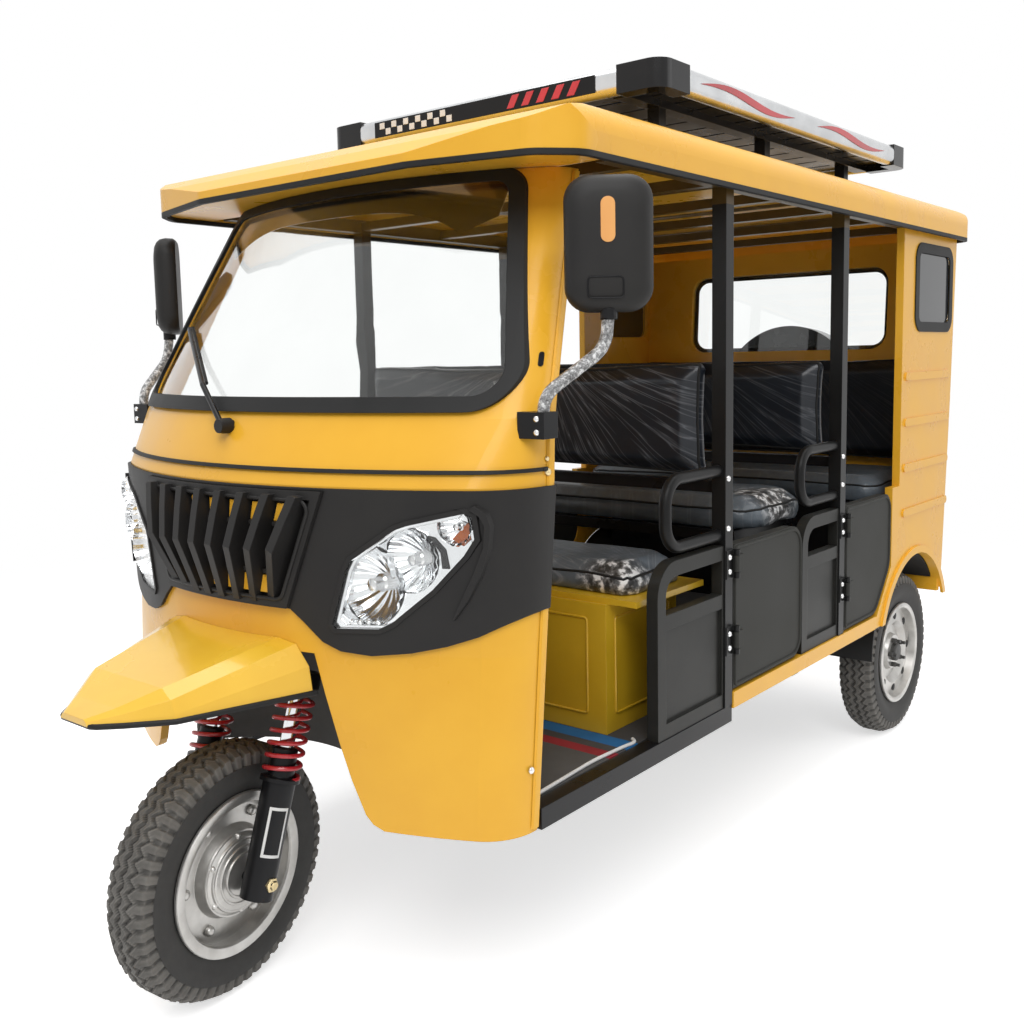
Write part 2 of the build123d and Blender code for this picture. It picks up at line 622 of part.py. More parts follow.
def roof_section(inset):
    """Cross section of the roof with round shoulders, moved in by inset."""
    half = ROOF_HALF - inset
    top = ROOF_TOP - inset
    turn = ROOF_ROUND - inset
    with BuildSketch(front_plane(3000), mode=Mode.PRIVATE) as section:
        with BuildLine():
            Polyline((-half, top - turn), (-half, EAVES - 20), (half, EAVES - 20), (half, top - turn))
            RadiusArc((half, top - turn), (half - turn, top), -turn)
            Line((half - turn, top), (turn - half, top))
            RadiusArc((turn - half, top), (-half, top - turn), -turn)
        make_face()
    return section.sketch


with BuildPart() as roof_hollow:
    with BuildSketch(Plane.YZ.offset(-ROOF_HALF)):
        with BuildLine():
            Polyline(*along(ROOF_HOLLOW_SIDE), close=True)
        make_face()
    extrude(amount=2 * ROOF_HALF)
    extrude(roof_section(24), amount=3400, dir=FORWARD, mode=Mode.INTERSECT)

with BuildPart() as roof:
    with BuildSketch(Plane.YZ.offset(-ROOF_HALF)):
        with BuildLine():
            Polyline(*along(ROOF_SIDE), close=True)
        make_face()
    extrude(amount=2 * ROOF_HALF)
    extrude(roof_section(0), amount=3400, dir=FORWARD, mode=Mode.INTERSECT)
    extrude(roof_plan(EAVES - 1), amount=300, dir=UPWARD, mode=Mode.INTERSECT)
    add(roof_hollow.part, mode=Mode.SUBTRACT)
keep(roof.part, "roof")

DRIP_W = 12.0
DRIP_H = 11.0
with BuildPart() as drip_edge:
    extrude(roof_plan(EAVES - DRIP_H), amount=DRIP_H - 0.1, dir=UPWARD)
    extrude(roof_plan(EAVES - DRIP_H, DRIP_W), amount=DRIP_H, dir=UPWARD, mode=Mode.SUBTRACT)
with window_seals:
    add(drip_edge.part)
keep(window_seals.part, "window_seals")

# Roof frame inside the eaves, with bows across
BOW_STATIONS = [700, 1038, 1380, 1717, 2060, 2400]
with side_frames:
    for side in (-1, 1):
        block(side * 597 - 18, side * 597 + 18, 560, 2650, EAVES, EAVES + 36)
    for station in BOW_STATIONS:
        block(-590, 590, station - 15, station + 15, EAVES + 6, EAVES + 30)
keep(side_frames.part, "side_frames")

# Roof rack
RACK_HALF = 537.0
RACK_FRONT = 880.0
RACK_REAR = 2406.0
RACK_LOW = 1866.0
RACK_HIGH = 1926.0
RACK_TUBE = 44.0
CAP_LENGTH = 120.0
SLAT_BOARDS = 14
RACK_FEET = [1080, 1640, 2200]
FOOT_X = 400.0
RACK_TUBE_ROUND = 20.0
with BuildPart() as rack_rails:
    for side in (-1, 1):
        rail_x = side * (RACK_HALF - RACK_TUBE / 2)
        with BuildSketch(front_plane(RACK_REAR - CAP_LENGTH)):
            with Locations((rail_x, (RACK_LOW + RACK_HIGH) / 2)):
                RectangleRounded(RACK_TUBE, RACK_HIGH - RACK_LOW, RACK_TUBE_ROUND)
        extrude(amount=RACK_REAR - RACK_FRONT - 2 * CAP_LENGTH)
    for station in (RACK_FRONT + RACK_TUBE / 2, RACK_REAR - RACK_TUBE / 2):
        with BuildSketch(Plane.YZ.offset(-RACK_HALF + CAP_LENGTH)):
            with Locations((at(station), (RACK_LOW + RACK_HIGH) / 2)):
                RectangleRounded(RACK_TUBE, RACK_HIGH - RACK_LOW, RACK_TUBE_ROUND)
        extrude(amount=2 * (RACK_HALF - CAP_LENGTH))
keep(rack_rails.part, "rack_rails")

with BuildPart() as rack_caps:
    for side in (-1, 1):
        for corner, turn in ((RACK_FRONT, 1), (RACK_REAR, -1)):
            outer_x = side * RACK_HALF
            x_low, x_high = sorted((outer_x, outer_x - side * CAP_LENGTH))
            y_low, y_high = sorted((corner, corner + turn * CAP_LENGTH))
            block(x_low, x_high, y_low, y_high, RACK_LOW - 2, RACK_HIGH + 2)
            x_low, x_high = sorted((outer_x - side * RACK_TUBE, outer_x - side * (CAP_LENGTH + 9)))
            y_low, y_high = sorted((corner + turn * RACK_TUBE, corner + turn * (CAP_LENGTH + 9)))
            block(x_low, x_high, y_low, y_high, RACK_LOW - 9, RACK_HIGH + 9, Mode.SUBTRACT)
    fillet(rack_caps.edges().filter_by(Axis.Z).group_by(SortBy.LENGTH)[-1].filter_by(
        lambda edge: abs(abs(edge.center().X) - RACK_HALF) < 1 and min(
            abs(edge.center().Y - at(RACK_FRONT)), abs(edge.center().Y - at(RACK_REAR))) < 1), radius=40)
keep(rack_caps.part, "rack_caps")

with BuildPart() as rack_deck:
    board_room = (RACK_REAR - RACK_FRONT - 2 * RACK_TUBE) / SLAT_BOARDS
    for index in range(SLAT_BOARDS):
        board_front = RACK_FRONT + RACK_TUBE + index * board_room + 5
        block(-RACK_HALF + RACK_TUBE, RACK_HALF - RACK_TUBE, board_front, board_front + board_room - 12,
              RACK_LOW + 18, RACK_LOW + 32)
    for side in (-1, 1):
        block(side * FOOT_X - 20, side * FOOT_X + 20, RACK_FRONT + RACK_TUBE, RACK_REAR - RACK_TUBE,
              RACK_LOW, RACK_LOW + 18)
        for station in RACK_FEET:
            block(side * FOOT_X - 16, side * FOOT_X + 16, station - 16, station + 16, ROOF_TOP + 6, RACK_LOW)
            block(side * FOOT_X - 34, side * FOOT_X + 34, station - 26, station + 26, ROOF_TOP, ROOF_TOP + 6)
keep(rack_deck.part, "rack_deck")

# Seats
SEAT_BOX_HALF = 491.0
SEAT_BOX_FRONT = 708.0
SEAT_BOX_REAR = 1010.0
SEAT_BOX_TOP = 735.0
SEAT_BOX_WALL = 14.0
with BuildPart() as seat_box:
    block(-SEAT_BOX_HALF, SEAT_BOX_HALF, SEAT_BOX_FRONT, SEAT_BOX_REAR, FLOOR_TOP, SEAT_BOX_TOP)
    block(-SEAT_BOX_HALF + SEAT_BOX_WALL, SEAT_BOX_HALF - SEAT_BOX_WALL, SEAT_BOX_FRONT + SEAT_BOX_WALL,
          SEAT_BOX_REAR - SEAT_BOX_WALL, FLOOR_TOP - 1, SEAT_BOX_TOP, Mode.SUBTRACT)
    block(-566, 566, SEAT_BOX_FRONT + 8, SEAT_BOX_REAR, SEAT_BOX_TOP, SEAT_BOX_TOP + 14)
keep(seat_box.part, "seat_box")

SEAT_CUSHIONS = [
    dict(half=550, front=728, rear=1002, low=SEAT_BOX_TOP + 15, high=812),
    dict(half=560, front=1290, rear=1682, low=820, high=894),
    dict(half=574, front=2112, rear=2536, low=800, high=874),
]
SEAT_BACKRESTS = [
    dict(half=568, front=1004, rear=1052, low=984, high=1272),
    dict(half=568, front=1684, rear=1730, low=984, high=1266),
    dict(half=574, front=2540, rear=2588, low=884, high=1262),
]
CUSHION_ROUND = 20.0
for name, rows in (("seat_cushions", SEAT_CUSHIONS), ("seat_backrests", SEAT_BACKRESTS)):
    with BuildPart() as pads:
        for row in rows:
            block(-row["half"], row["half"], row["front"], row["rear"], row["low"], row["high"])
        fillet(pads.edges(), radius=CUSHION_ROUND)
    keep(pads.part, name)

# Seat frames: tubes between the posts, bench legs and the rear bench front
LEG_ROWS = [1312, 1668]
with BuildPart() as seat_frames:
    for rear, lows in ((POST_B, (952, 1230)), (POST_C, (952, 1226))):
        for low in lows:
            block(-HALF + POST, HALF - POST, rear - 6, rear + 22, low, low + 28)
    for leg_x in (-480, 480):
        for station in LEG_ROWS:
            block(leg_x - 16, leg_x + 16, station - 16, station + 16, FLOOR_TOP, 790)
        block(leg_x - 16, leg_x + 16, 1296, 1684, 790, 818)
    for station in LEG_ROWS:
        block(-480, 480, station - 16, station + 16, 790, 818)
    block(-420, 420, 2096, 2110, FLOOR_TOP, 784)
    block(-574, 574, 2096, 2540, 784, 798)
keep(seat_frames.part, "seat_frames")

# Rear axle, springs and propeller shaft
SPRING_SPAN = 270.0
SPRING_EYE_Z = 352.0
SPRING_MID_Z = 312.0
SPRING_T = 22.0
SPRING_W = 50.0
with BuildPart() as rear_axle:
    with BuildSketch(Plane.YZ.offset(-450)):
        with Locations((at(REAR_AXLE), TYRE_R)):
            Circle(30)
    extrude(amount=900)
    with Locations((0, at(REAR_AXLE), TYRE_R)):
        Sphere(92)
    for drum_x in (-482, 442):
        with BuildSketch(Plane.YZ.offset(drum_x)):
            with Locations((at(REAR_AXLE), TYRE_R)):
                Circle(112)
        extrude(amount=40)
    with BuildSketch(Plane.YZ.offset(-REAR_WHEEL_X - 44)):
        with Locations((at(REAR_AXLE), TYRE_R)):
            Circle(HUB_BORE_R - 1)
    extrude(amount=2 * REAR_WHEEL_X + 88)

with BuildPart() as leaf_springs:
    with BuildSketch(Plane.YZ.offset(RAIL_X - SPRING_W / 2)):
        with BuildLine():
            front_eye = REAR_AXLE - SPRING_SPAN
            rear_eye = REAR_AXLE + SPRING_SPAN
            low_points = [(front_eye, SPRING_EYE_Z - SPRING_T), (REAR_AXLE, SPRING_MID_Z - SPRING_T),
                          (rear_eye, SPRING_EYE_Z - SPRING_T)]
            high_points = [(front_eye, SPRING_EYE_Z), (REAR_AXLE, SPRING_MID_Z + 12), (rear_eye, SPRING_EYE_Z)]
            low_line = ThreePointArc(*along(low_points))
            high_line = ThreePointArc(*along(high_points))
            Line(low_line @ 0, high_line @ 0)
            Line(low_line @ 1, high_line @ 1)
        make_face()
    extrude(amount=SPRING_W)
    for eye in (REAR_AXLE - SPRING_SPAN + 14, REAR_AXLE + SPRING_SPAN - 44):
        block(RAIL_X - 20, RAIL_X + 20, eye, eye + 30, SPRING_EYE_Z - 12, RAIL_LOW)
    mirror(about=MIRROR_PAIR)
    with BuildSketch(Plane.YZ.offset(-RAIL_X - SPRING_W)):
        with Locations((at(REAR_AXLE), TYRE_R)):
            Circle(30.5)
    extrude(amount=2 * RAIL_X + 2 * SPRING_W, mode=Mode.SUBTRACT)
keep(leaf_springs.part, "leaf_springs")

SHAFT_FRONT = (982.0, 340.0)
SHAFT_REAR = (2262.0, 276.0)
with rear_axle:
    rise = math.atan2(SHAFT_REAR[1] - SHAFT_FRONT[1], SHAFT_REAR[0] - SHAFT_FRONT[0])
    shaft_dir = Vector(0, math.cos(rise), math.sin(rise))
    with BuildSketch(Plane(origin=(0, at(SHAFT_FRONT[0]), SHAFT_FRONT[1]), x_dir=(1, 0, 0), z_dir=shaft_dir)):
        Circle(24)
    extrude(amount=math.hypot(SHAFT_REAR[0] - SHAFT_FRONT[0], SHAFT_REAR[1] - SHAFT_FRONT[1]) - 2)
keep(rear_axle.part, "rear_axle")

# Wheels
def wheel_part(shape, station, x, height, outward):
    """Ring about a wheel axle from a half section of (x, radius) points."""
    with BuildPart(mode=Mode.PRIVATE) as ring:
        across = Plane(origin=(x, at(station), height), x_dir=(outward, 0, 0), z_dir=(0, -outward, 0))
        with BuildSketch(across):
            with BuildLine():
                Polyline(*shape, close=True)
            make_face()
        revolve(axis=Axis((x, at(station), height), (1, 0, 0)))
    return ring.part


def parked(part):
    """The part turned with the front wheel, which is parked a little to the left."""
    return part.rotate(Axis(STEER_FOOT, STEER_DIR), PARKED_TURN)


keep(parked(wheel_part(FRONT_TYRE_SHAPE, FRONT_AXLE, 0, FRONT_AXLE_Z, 1)), "tyre_front")
keep(parked(wheel_part(FRONT_RIM_SHAPE, FRONT_AXLE, 0, FRONT_AXLE_Z, 1)), "rim_front")
for place, outward in (("left", 1), ("right", -1)):
    wheel_x = outward * REAR_WHEEL_X
    keep(wheel_part(TYRE_SHAPE, REAR_AXLE, wheel_x, TYRE_R, outward), f"tyre_rear_{place}")
    keep(wheel_part(REAR_RIM_SHAPE, REAR_AXLE, wheel_x, TYRE_R, outward), f"rim_rear_{place}")

# Front fork
SLIDER_R = 33.0
SLIDER_TOP = 196.0
ROD_R = 15.0
SPRING_R = 41.0
SPRING_LOW = 200.0
SPRING_HIGH = 384.0
SPRING_TURNS = 7
YOKE_LOW = 388.0
YOKE_HIGH = 420.0


def leg_plane(side, height):
    """Plane square to one fork leg, at a height along it from the wheel axle."""
    foot = FRONT_HUB + Vector(side * LEG_X, 0, 0)
    return Plane(origin=foot + STEER_DIR * height, x_dir=(1, 0, 0), z_dir=STEER_DIR)


with BuildPart() as fork_sliders:
    for side in (-1, 1):
        with BuildSketch(leg_plane(side, -34)):
            Circle(SLIDER_R)
        extrude(amount=SLIDER_TOP + 34)
        with BuildSketch(leg_plane(side, 20)):
            Circle(ROD_R + 0.5)
        extrude(amount=SLIDER_TOP, mode=Mode.SUBTRACT)
    with BuildSketch(Plane.YZ.offset(-LEG_X - 40)):
        with Locations((at(FRONT_AXLE), FRONT_AXLE_Z)):
            Circle(AXLE_BORE_R - 1)
    extrude(amount=2 * LEG_X + 80)
keep(parked(fork_sliders.part), "fork_sliders")

with BuildPart() as fork_springs:
    for side in (-1, 1):
        plane = leg_plane(side, 0)
        pitch = (SPRING_HIGH - SPRING_LOW) / SPRING_TURNS
        edge = [(ROD_R + 1, SPRING_LOW)]
        for turn in range(SPRING_TURNS):
            edge.append((SPRING_R - 9, SPRING_LOW + turn * pitch))
            edge.append((SPRING_R, SPRING_LOW + (turn + 0.5) * pitch))
        edge.append((SPRING_R - 9, SPRING_HIGH))
        edge.append((ROD_R + 1, SPRING_HIGH))
        with BuildSketch(Plane(origin=plane.origin, x_dir=(1, 0, 0), z_dir=plane.y_dir * -1)):
            with BuildLine():
                Polyline(*edge, close=True)
            make_face()
        revolve(axis=Axis(plane.origin, plane.z_dir))
keep(parked(fork_springs.part), "fork_springs")

STEM_TOP = 850.0
with BuildPart() as fork_yoke:
    with BuildSketch(steer_plane(YOKE_LOW)):
        with Locations((0, 0)):
            Circle(44)
        with Locations((-LEG_X, -STEER_TRAIL), (LEG_X, -STEER_TRAIL)):
            Circle(SPRING_R + 1)
        with Locations((0, -STEER_TRAIL / 2)):
            Rectangle(2 * LEG_X, 62)
    extrude(amount=YOKE_HIGH - YOKE_LOW)
    for side in (-1, 1):
        with BuildSketch(leg_plane(side, 24)):
            Circle(ROD_R)
        extrude(amount=YOKE_HIGH - 24)
    with BuildSketch(steer_plane(YOKE_LOW)):
        Circle(STEM_R)
    extrude(amount=STEM_TOP - YOKE_LOW)

BAR_R = 12.0
GRIP_R = 17.0
BAR = [(-300, 118), (-190, 96), (-70, 0), (70, 0), (190, 96), (300, 118)]
with fork_yoke:
    with BuildLine(steer_plane(STEM_TOP + BAR_R + 6)) as path:
        FilletPolyline(*BAR, radius=40)
    with BuildSketch(Plane(origin=path.line @ 0, z_dir=path.line % 0)):
        Circle(BAR_R)
    sweep(path=path.line)
    with BuildSketch(steer_plane(STEM_TOP)):
        Circle(30)
    extrude(amount=34)
    for end, direction in ((path.line @ 0, path.line % 0), (path.line @ 1, (path.line % 1) * -1)):
        with BuildSketch(Plane(origin=end, z_dir=direction)):
            Circle(GRIP_R)
        extrude(amount=100)
keep(parked(fork_yoke.part), "fork_yoke")

# Mirrors
MIRROR_ARM = [(636, 306, 1128), (636, 306, 1212), (694, 420, 1296), (694, 430, 1362)]
ARM_R = 11.0
HEAD_MIDDLE = (694.0, 432.0, 1482.0)
HEAD_TURN = 38.0
HEAD_SIZE = (162.0, 246.0)
HEAD_DEPTH = 58.0
with BuildPart() as mirrors:
    with BuildLine() as path:
        FilletPolyline(*[(x, at(station), z) for x, station, z in MIRROR_ARM], radius=40)
    with BuildSketch(Plane(origin=path.line @ 0, z_dir=path.line % 0)):
        Circle(ARM_R)
    sweep(path=path.line)
    block(590, 652, 284, 330, 1134, 1186)
    add(cab_skin(0.5, jamb_extra=40), mode=Mode.SUBTRACT)

head_dir = Vector(math.sin(math.radians(HEAD_TURN)), -math.cos(math.radians(HEAD_TURN)), 0)
head_back = Vector(HEAD_MIDDLE[0], at(HEAD_MIDDLE[1]), HEAD_MIDDLE[2]) - head_dir * (HEAD_DEPTH / 2)
with mirrors:
    with BuildSketch(Plane(origin=head_back, x_dir=(head_dir.Y, -head_dir.X, 0), z_dir=head_dir)):
        RectangleRounded(*HEAD_SIZE, 42)
    extrude(amount=HEAD_DEPTH, taper=14)
    with BuildSketch(Plane(origin=head_back, x_dir=(head_dir.Y, -head_dir.X, 0), z_dir=head_dir)):
        RectangleRounded(HEAD_SIZE[0] - 16, HEAD_SIZE[1] - 16, 36)
    extrude(amount=8, mode=Mode.SUBTRACT)
    mirror(about=MIRROR_PAIR)
keep(mirrors.part, "mirrors")

with BuildPart() as mirror_glass:
    glass_origin = head_back + head_dir * 3
    with BuildSketch(Plane(origin=glass_origin, x_dir=(head_dir.Y, -head_dir.X, 0), z_dir=head_dir)):
        RectangleRounded(HEAD_SIZE[0] - 18, HEAD_SIZE[1] - 18, 35)
    extrude(amount=5)
    mirror(about=MIRROR_PAIR)
keep(mirror_glass.part, "mirror_glass")

# Wiper in front of the screen
WIPER = [(-18, 93, 1156), (-136, 135, 1237), (-416, 302, 1363)]
with BuildPart() as wiper:
    bends = [Vector(x, at(station), z) for x, station, z in WIPER]
    for start, end in zip(bends, bends[1:]):
        with BuildSketch(Plane(origin=start, z_dir=end - start)):
            Circle(6)
        extrude(amount=(end - start).length)
        with Locations(end):
            Sphere(6)
    with BuildSketch(Plane(origin=bends[0], z_dir=(0, 1, 0))):
        Circle(11)
    extrude(amount=60)
    add(cab_skin(0.5, jamb_extra=20), mode=Mode.SUBTRACT)
    add(window_seals.part, mode=Mode.SUBTRACT)
keep(wiper.part, "wiper")

# Tail: spare wheel cover, lamps and bumper tube
SPARE_Z = 1106.0
SPARE_R = 275.0
SPARE_DEPTH = 128.0
SPARE_GAP = 24.0
spare_middle = BACK_PLANE.from_local_coords((0, back_height(SPARE_Z), 0))
spare_plane = Plane(origin=spare_middle, x_dir=(-1, 0, 0), z_dir=BACKWARD)
with BuildPart() as spare_wheel_cover:
    with BuildSketch(spare_plane):
        Circle(70)
    extrude(amount=SPARE_GAP)
    with BuildSketch(spare_plane.offset(SPARE_GAP)):
        Circle(SPARE_R)
    extrude(amount=SPARE_DEPTH)
    fillet(spare_wheel_cover.edges().filter_by(GeomType.CIRCLE).sort_by(Axis.Y)[-1:], radius=34)
keep(spare_wheel_cover.part, "spare_wheel_cover")

LAMP_X = 500.0
with BuildPart() as tail_lamps:
    for side in (-1, 1):
        with BuildSketch(BACK_PLANE):
            with Locations((side * LAMP_X, back_height(760))):
                RectangleRounded(110, 190, 16)
        extrude(amount=34)
keep(tail_lamps.part, "tail_lamps")

BUMPER_Z = 452.0
BUMPER_R = 21.0
with BuildPart() as rear_bumper:
    with BuildSketch(Plane.YZ.offset(-560)):
        with Locations((at(2664), BUMPER_Z)):
            Circle(BUMPER_R)
    extrude(amount=1120)
    for side in (-1, 1):
        block(side * RAIL_X - 20, side * RAIL_X + 20, RAIL_REAR, 2664, 386, 414)
        block(side * RAIL_X - 20, side * RAIL_X + 20, 2640, 2680, 386, BUMPER_Z)
keep(rear_bumper.part, "rear_bumper")
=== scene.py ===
"""Looks of a passenger auto rickshaw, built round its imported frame.

Metres, the front towards -Y, +X the vehicle's left.
"""

import json
import math

import bmesh
import bpy
from mathutils import Matrix, Vector
from mathutils.bvhtree import BVHTree


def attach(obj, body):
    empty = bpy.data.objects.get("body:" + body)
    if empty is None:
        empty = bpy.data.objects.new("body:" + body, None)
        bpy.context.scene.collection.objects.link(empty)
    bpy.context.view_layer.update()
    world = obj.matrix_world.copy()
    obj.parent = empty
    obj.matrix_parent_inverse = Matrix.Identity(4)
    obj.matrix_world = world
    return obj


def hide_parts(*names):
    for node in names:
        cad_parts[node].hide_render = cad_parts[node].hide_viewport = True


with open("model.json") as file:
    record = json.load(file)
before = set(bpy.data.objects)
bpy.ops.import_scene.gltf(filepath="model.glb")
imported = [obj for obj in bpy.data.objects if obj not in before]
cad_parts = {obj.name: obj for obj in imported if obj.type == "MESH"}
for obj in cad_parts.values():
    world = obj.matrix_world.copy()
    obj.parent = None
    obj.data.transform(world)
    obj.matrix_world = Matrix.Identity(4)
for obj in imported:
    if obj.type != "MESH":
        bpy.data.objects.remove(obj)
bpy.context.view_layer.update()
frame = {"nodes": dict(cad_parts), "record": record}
nodes = frame["nodes"]
joints = {joint["name"]: joint for joint in frame["record"]["behaviour"]["joints"]}

FRONT_AXLE_Y = -1.274
SIDES = ((1, "left"), (-1, "right"))
FORWARD = (0, -1, 0)
POINT_R = 0.0001


def at(station):
    """Y of a station, metres behind the front axle datum."""
    return FRONT_AXLE_Y + station


def grey(value):
    """Neutral colour."""
    return (value, value, value)


# Materials
EDGE_ROUND = 0.0022
EDGE_SAMPLES = 4
COAT_ROUGH = 0.05
SMOOTHEST = 0.02


class Tree:
    """A shader tree and short ways to add to it."""

    def __init__(self, owner):
        owner.use_nodes = True
        self.nodes = owner.node_tree.nodes
        self.links = owner.node_tree.links

    def fill(self, node, inputs):
        """Links sockets to a node's inputs and sets the others as constants."""
        for key, value in inputs.items():
            if isinstance(value, bpy.types.NodeSocket):
                self.links.new(value, node.inputs[key])
            else:
                node.inputs[key].default_value = value

    def add(self, kind, inputs, output, **options):
        """One output of a new node."""
        node = self.nodes.new(kind)
        for option, value in options.items():
            setattr(node, option, value)
        self.fill(node, inputs)
        return node.outputs[output]

    def combine(self, operation, first, second):
        """Two values joined by arithmetic."""
        return self.add("ShaderNodeMath", {0: first, 1: second}, 0, operation=operation)

    def span(self, value, low, high, to_low=0.0, to_high=1.0, curve="LINEAR"):
        """Value carried from one range to another."""
        inputs = {"Value": value, "From Min": low, "From Max": high, "To Min": to_low, "To Max": to_high}
        return self.add("ShaderNodeMapRange", inputs, "Result", interpolation_type=curve)

    def seen_level(self, unseen, seen):
        """One strength for rays from the camera, mirrors and glass, another for the light on the object."""
        path = self.nodes.new("ShaderNodeLightPath").outputs
        straight = self.combine("MAXIMUM", path["Is Camera Ray"], path["Is Transmission Ray"])
        direct = self.combine("MAXIMUM", straight, path["Is Glossy Ray"])
        return self.span(direct, 0.0, 1.0, unseen, seen)


class Look(Tree):
    """One procedural material, shaded in object space."""

    def __init__(self, name):
        self.material = bpy.data.materials.new(name)
        super().__init__(self.material)
        self.shader = self.nodes["Principled BSDF"]
        self.place = self.add("ShaderNodeTexCoord", {}, "Object")

    def surface(self, inputs):
        """Inputs of the material's shader."""
        self.fill(self.shader, inputs)

    def noise(self, scale, detail=4.0, rough=0.55):
        """Noise factor."""
        inputs = {"Vector": self.place, "Scale": scale, "Detail": detail, "Roughness": rough}
        return self.add("ShaderNodeTexNoise", inputs, "Fac")

    def fine(self, scale):
        """Noise for a small grain."""
        return self.noise(scale, detail=2.0)

    def ramp(self, factor, stops, steps=False):
        """Colours over a factor; stops are (place, colour), hard-edged if steps."""
        node = self.nodes.new("ShaderNodeValToRGB")
        node.color_ramp.interpolation = "CONSTANT" if steps else "LINEAR"
        elements = node.color_ramp.elements
        while len(elements) < len(stops):
            elements.new(0.5)
        for element, (position, colour) in zip(elements, stops):
            element.position = position
            element.color = (*colour, 1)
        self.fill(node, {"Fac": factor})
        return node.outputs["Color"]

    def tones(self, factor, low, high):
        """Two colours over the middle of a noise."""
        return self.ramp(factor, [(0.3, low), (0.7, high)])

    def mixed(self, factor, first, second):
        """Two colours mixed by a factor."""
        inputs = {"Factor": factor, "A": first, "B": second}
        return self.add("ShaderNodeMix", inputs, "Result", data_type="RGBA")

    def axis(self, vector, letter):
        """One coordinate of a vector."""
        return self.add("ShaderNodeSeparateXYZ", {"Vector": vector}, letter)

    def length(self, vector):
        """Length of a vector."""
        return self.add("ShaderNodeVectorMath", {0: vector}, "Value", operation="LENGTH")

    def way_from(self, origin):
        """Way from a point to the shaded place."""
        return self.add("ShaderNodeVectorMath", {0: self.place, 1: origin}, "Vector", operation="SUBTRACT")

    def bump(self, height, strength, distance, soften=EDGE_ROUND):
        """Bump from a height over softened edges, as the shader's normal."""
        inputs = {"Height": height, "Strength": strength, "Distance": distance}
        if soften:
            inputs["Normal"] = self.add("ShaderNodeBevel", {"Radius": soften}, "Normal", samples=EDGE_SAMPLES)
        self.surface({"Normal": self.add("ShaderNodeBump", inputs, "Normal")})


def finish(name, low, high, rough, metallic=0.0, scale=6.0, grain=300.0, grain_depth=0.0002,
           grain_strength=0.15, coat=0.0, rough_spread=0.06, specular=0.5):
    """Opaque finish: two close tones over a cloudy noise, uneven roughness and a fine grain."""
    look = Look(name)
    cloud = look.noise(scale)
    smooth = max(rough - rough_spread, SMOOTHEST)
    look.surface({
        "Base Color": look.ramp(cloud, [(0.32, low), (0.68, high)]),
        "Roughness": look.tones(cloud, grey(smooth), grey(rough + rough_spread)),
        "Metallic": metallic, "Specular IOR Level": specular,
        "Coat Weight": coat, "Coat Roughness": COAT_ROUGH,
    })
    look.bump(look.fine(grain), grain_strength, grain_depth)
    return look.material


def clear(name, tint, rough, grain=40.0, grain_strength=0.02):
    """Clear glass or plastic with a faint waviness."""
    look = Look(name)
    paler = tuple(min(1.0, c * 1.03) for c in tint)
    colour = look.tones(look.noise(5.0), tint, paler)
    look.surface({"Base Color": colour, "Roughness": rough, "Transmission Weight": 1.0, "IOR": 1.45})
    look.bump(look.fine(grain), grain_strength, 0.0005, soften=0)
    return look.material


def dusty_rubber():
    """Tyre rubber with brown-grey road dust on the high places of its tread."""
    look = Look("tyre_rubber")
    patches = look.noise(26.0, detail=6.0, rough=0.7)
    rubber = look.tones(patches, (0.020, 0.019, 0.018), (0.030, 0.029, 0.027))
    dust = look.tones(patches, (0.110, 0.104, 0.095), (0.190, 0.180, 0.164))
    high = look.span(look.add("ShaderNodeNewGeometry", {}, "Pointiness"), 0.42, 0.56)
    tread = look.add("ShaderNodeAttribute", {}, "Fac", attribute_name="tread")
    worn = look.combine("MULTIPLY", high, tread)
    look.surface({"Base Color": look.mixed(worn, rubber, dust), "Roughness": 0.72})
    look.bump(look.fine(700.0), 0.3, 0.0003, soften=0)
    return look.material


FOLD_STRETCH = (14.0, 2.4, 1.0)
# Painted highlights: a bright ridge along each fold of the film, and white glints on bunched film.
FOLD_HIGHLIGHT = [(0.50, grey(0.0)), (0.545, grey(0.35)), (0.56, grey(0.95)), (0.575, grey(0.3)),
              (0.62, grey(0.0))]
BUNCH_GLINTS = [(0.42, grey(0.03)), (0.52, grey(0.16)), (0.60, grey(0.80))]


def filmed_vinyl(name, tone, highlight_origin, plane, crackle, glint_spots):
    """Black vinyl under clear film, with painted highlights: pale streaks along folds that spread from one
    point, and white glints at places where the film is bunched up.
    """
    look = Look(name)
    cloud = look.noise(9.0)
    vinyl = look.tones(cloud, tone, tuple(1.7 * c for c in tone))
    way = look.way_from(highlight_origin)
    far = look.length(way)
    angle = look.combine("ARCTAN2", look.axis(way, plane[1]), look.axis(way, plane[0]))
    polar = look.add("ShaderNodeCombineXYZ", {"X": angle, "Y": far}, "Vector")
    stretched = look.add("ShaderNodeMapping", {"Vector": polar, "Scale": FOLD_STRETCH}, "Vector")
    folds = look.add("ShaderNodeTexNoise", {"Vector": stretched, "Scale": 1.6, "Detail": 2.0}, "Fac")
    fade = look.span(far, 0.10, 0.95, 0.62, 0.12)
    fold_highlights = look.combine("MULTIPLY", look.ramp(folds, FOLD_HIGHLIGHT), fade)
    # Painted highlight: pale bluish reflection colour laid along the folds.
    pale = look.tones(cloud, (0.20, 0.21, 0.23), (0.34, 0.35, 0.38))
    colour = look.mixed(fold_highlights, vinyl, pale)
    crumple = look.noise(42.0, detail=4.0, rough=0.6)
    glints = look.ramp(crumple, BUNCH_GLINTS)
    # Painted highlight: white glints laid round each given spot of bunched film.
    for origin, radius in glint_spots:
        near = look.length(look.way_from(origin))
        colour = look.mixed(look.span(near, 0.55 * radius, radius, 1.0, 0.0), colour, glints)
    look.surface({"Base Color": colour, "Roughness": 0.42, "Specular IOR Level": 0.25,
                  "Coat Weight": 0.35, "Coat Roughness": 0.16})
    look.bump(crumple, crackle, 0.006, soften=0)
    return look.material


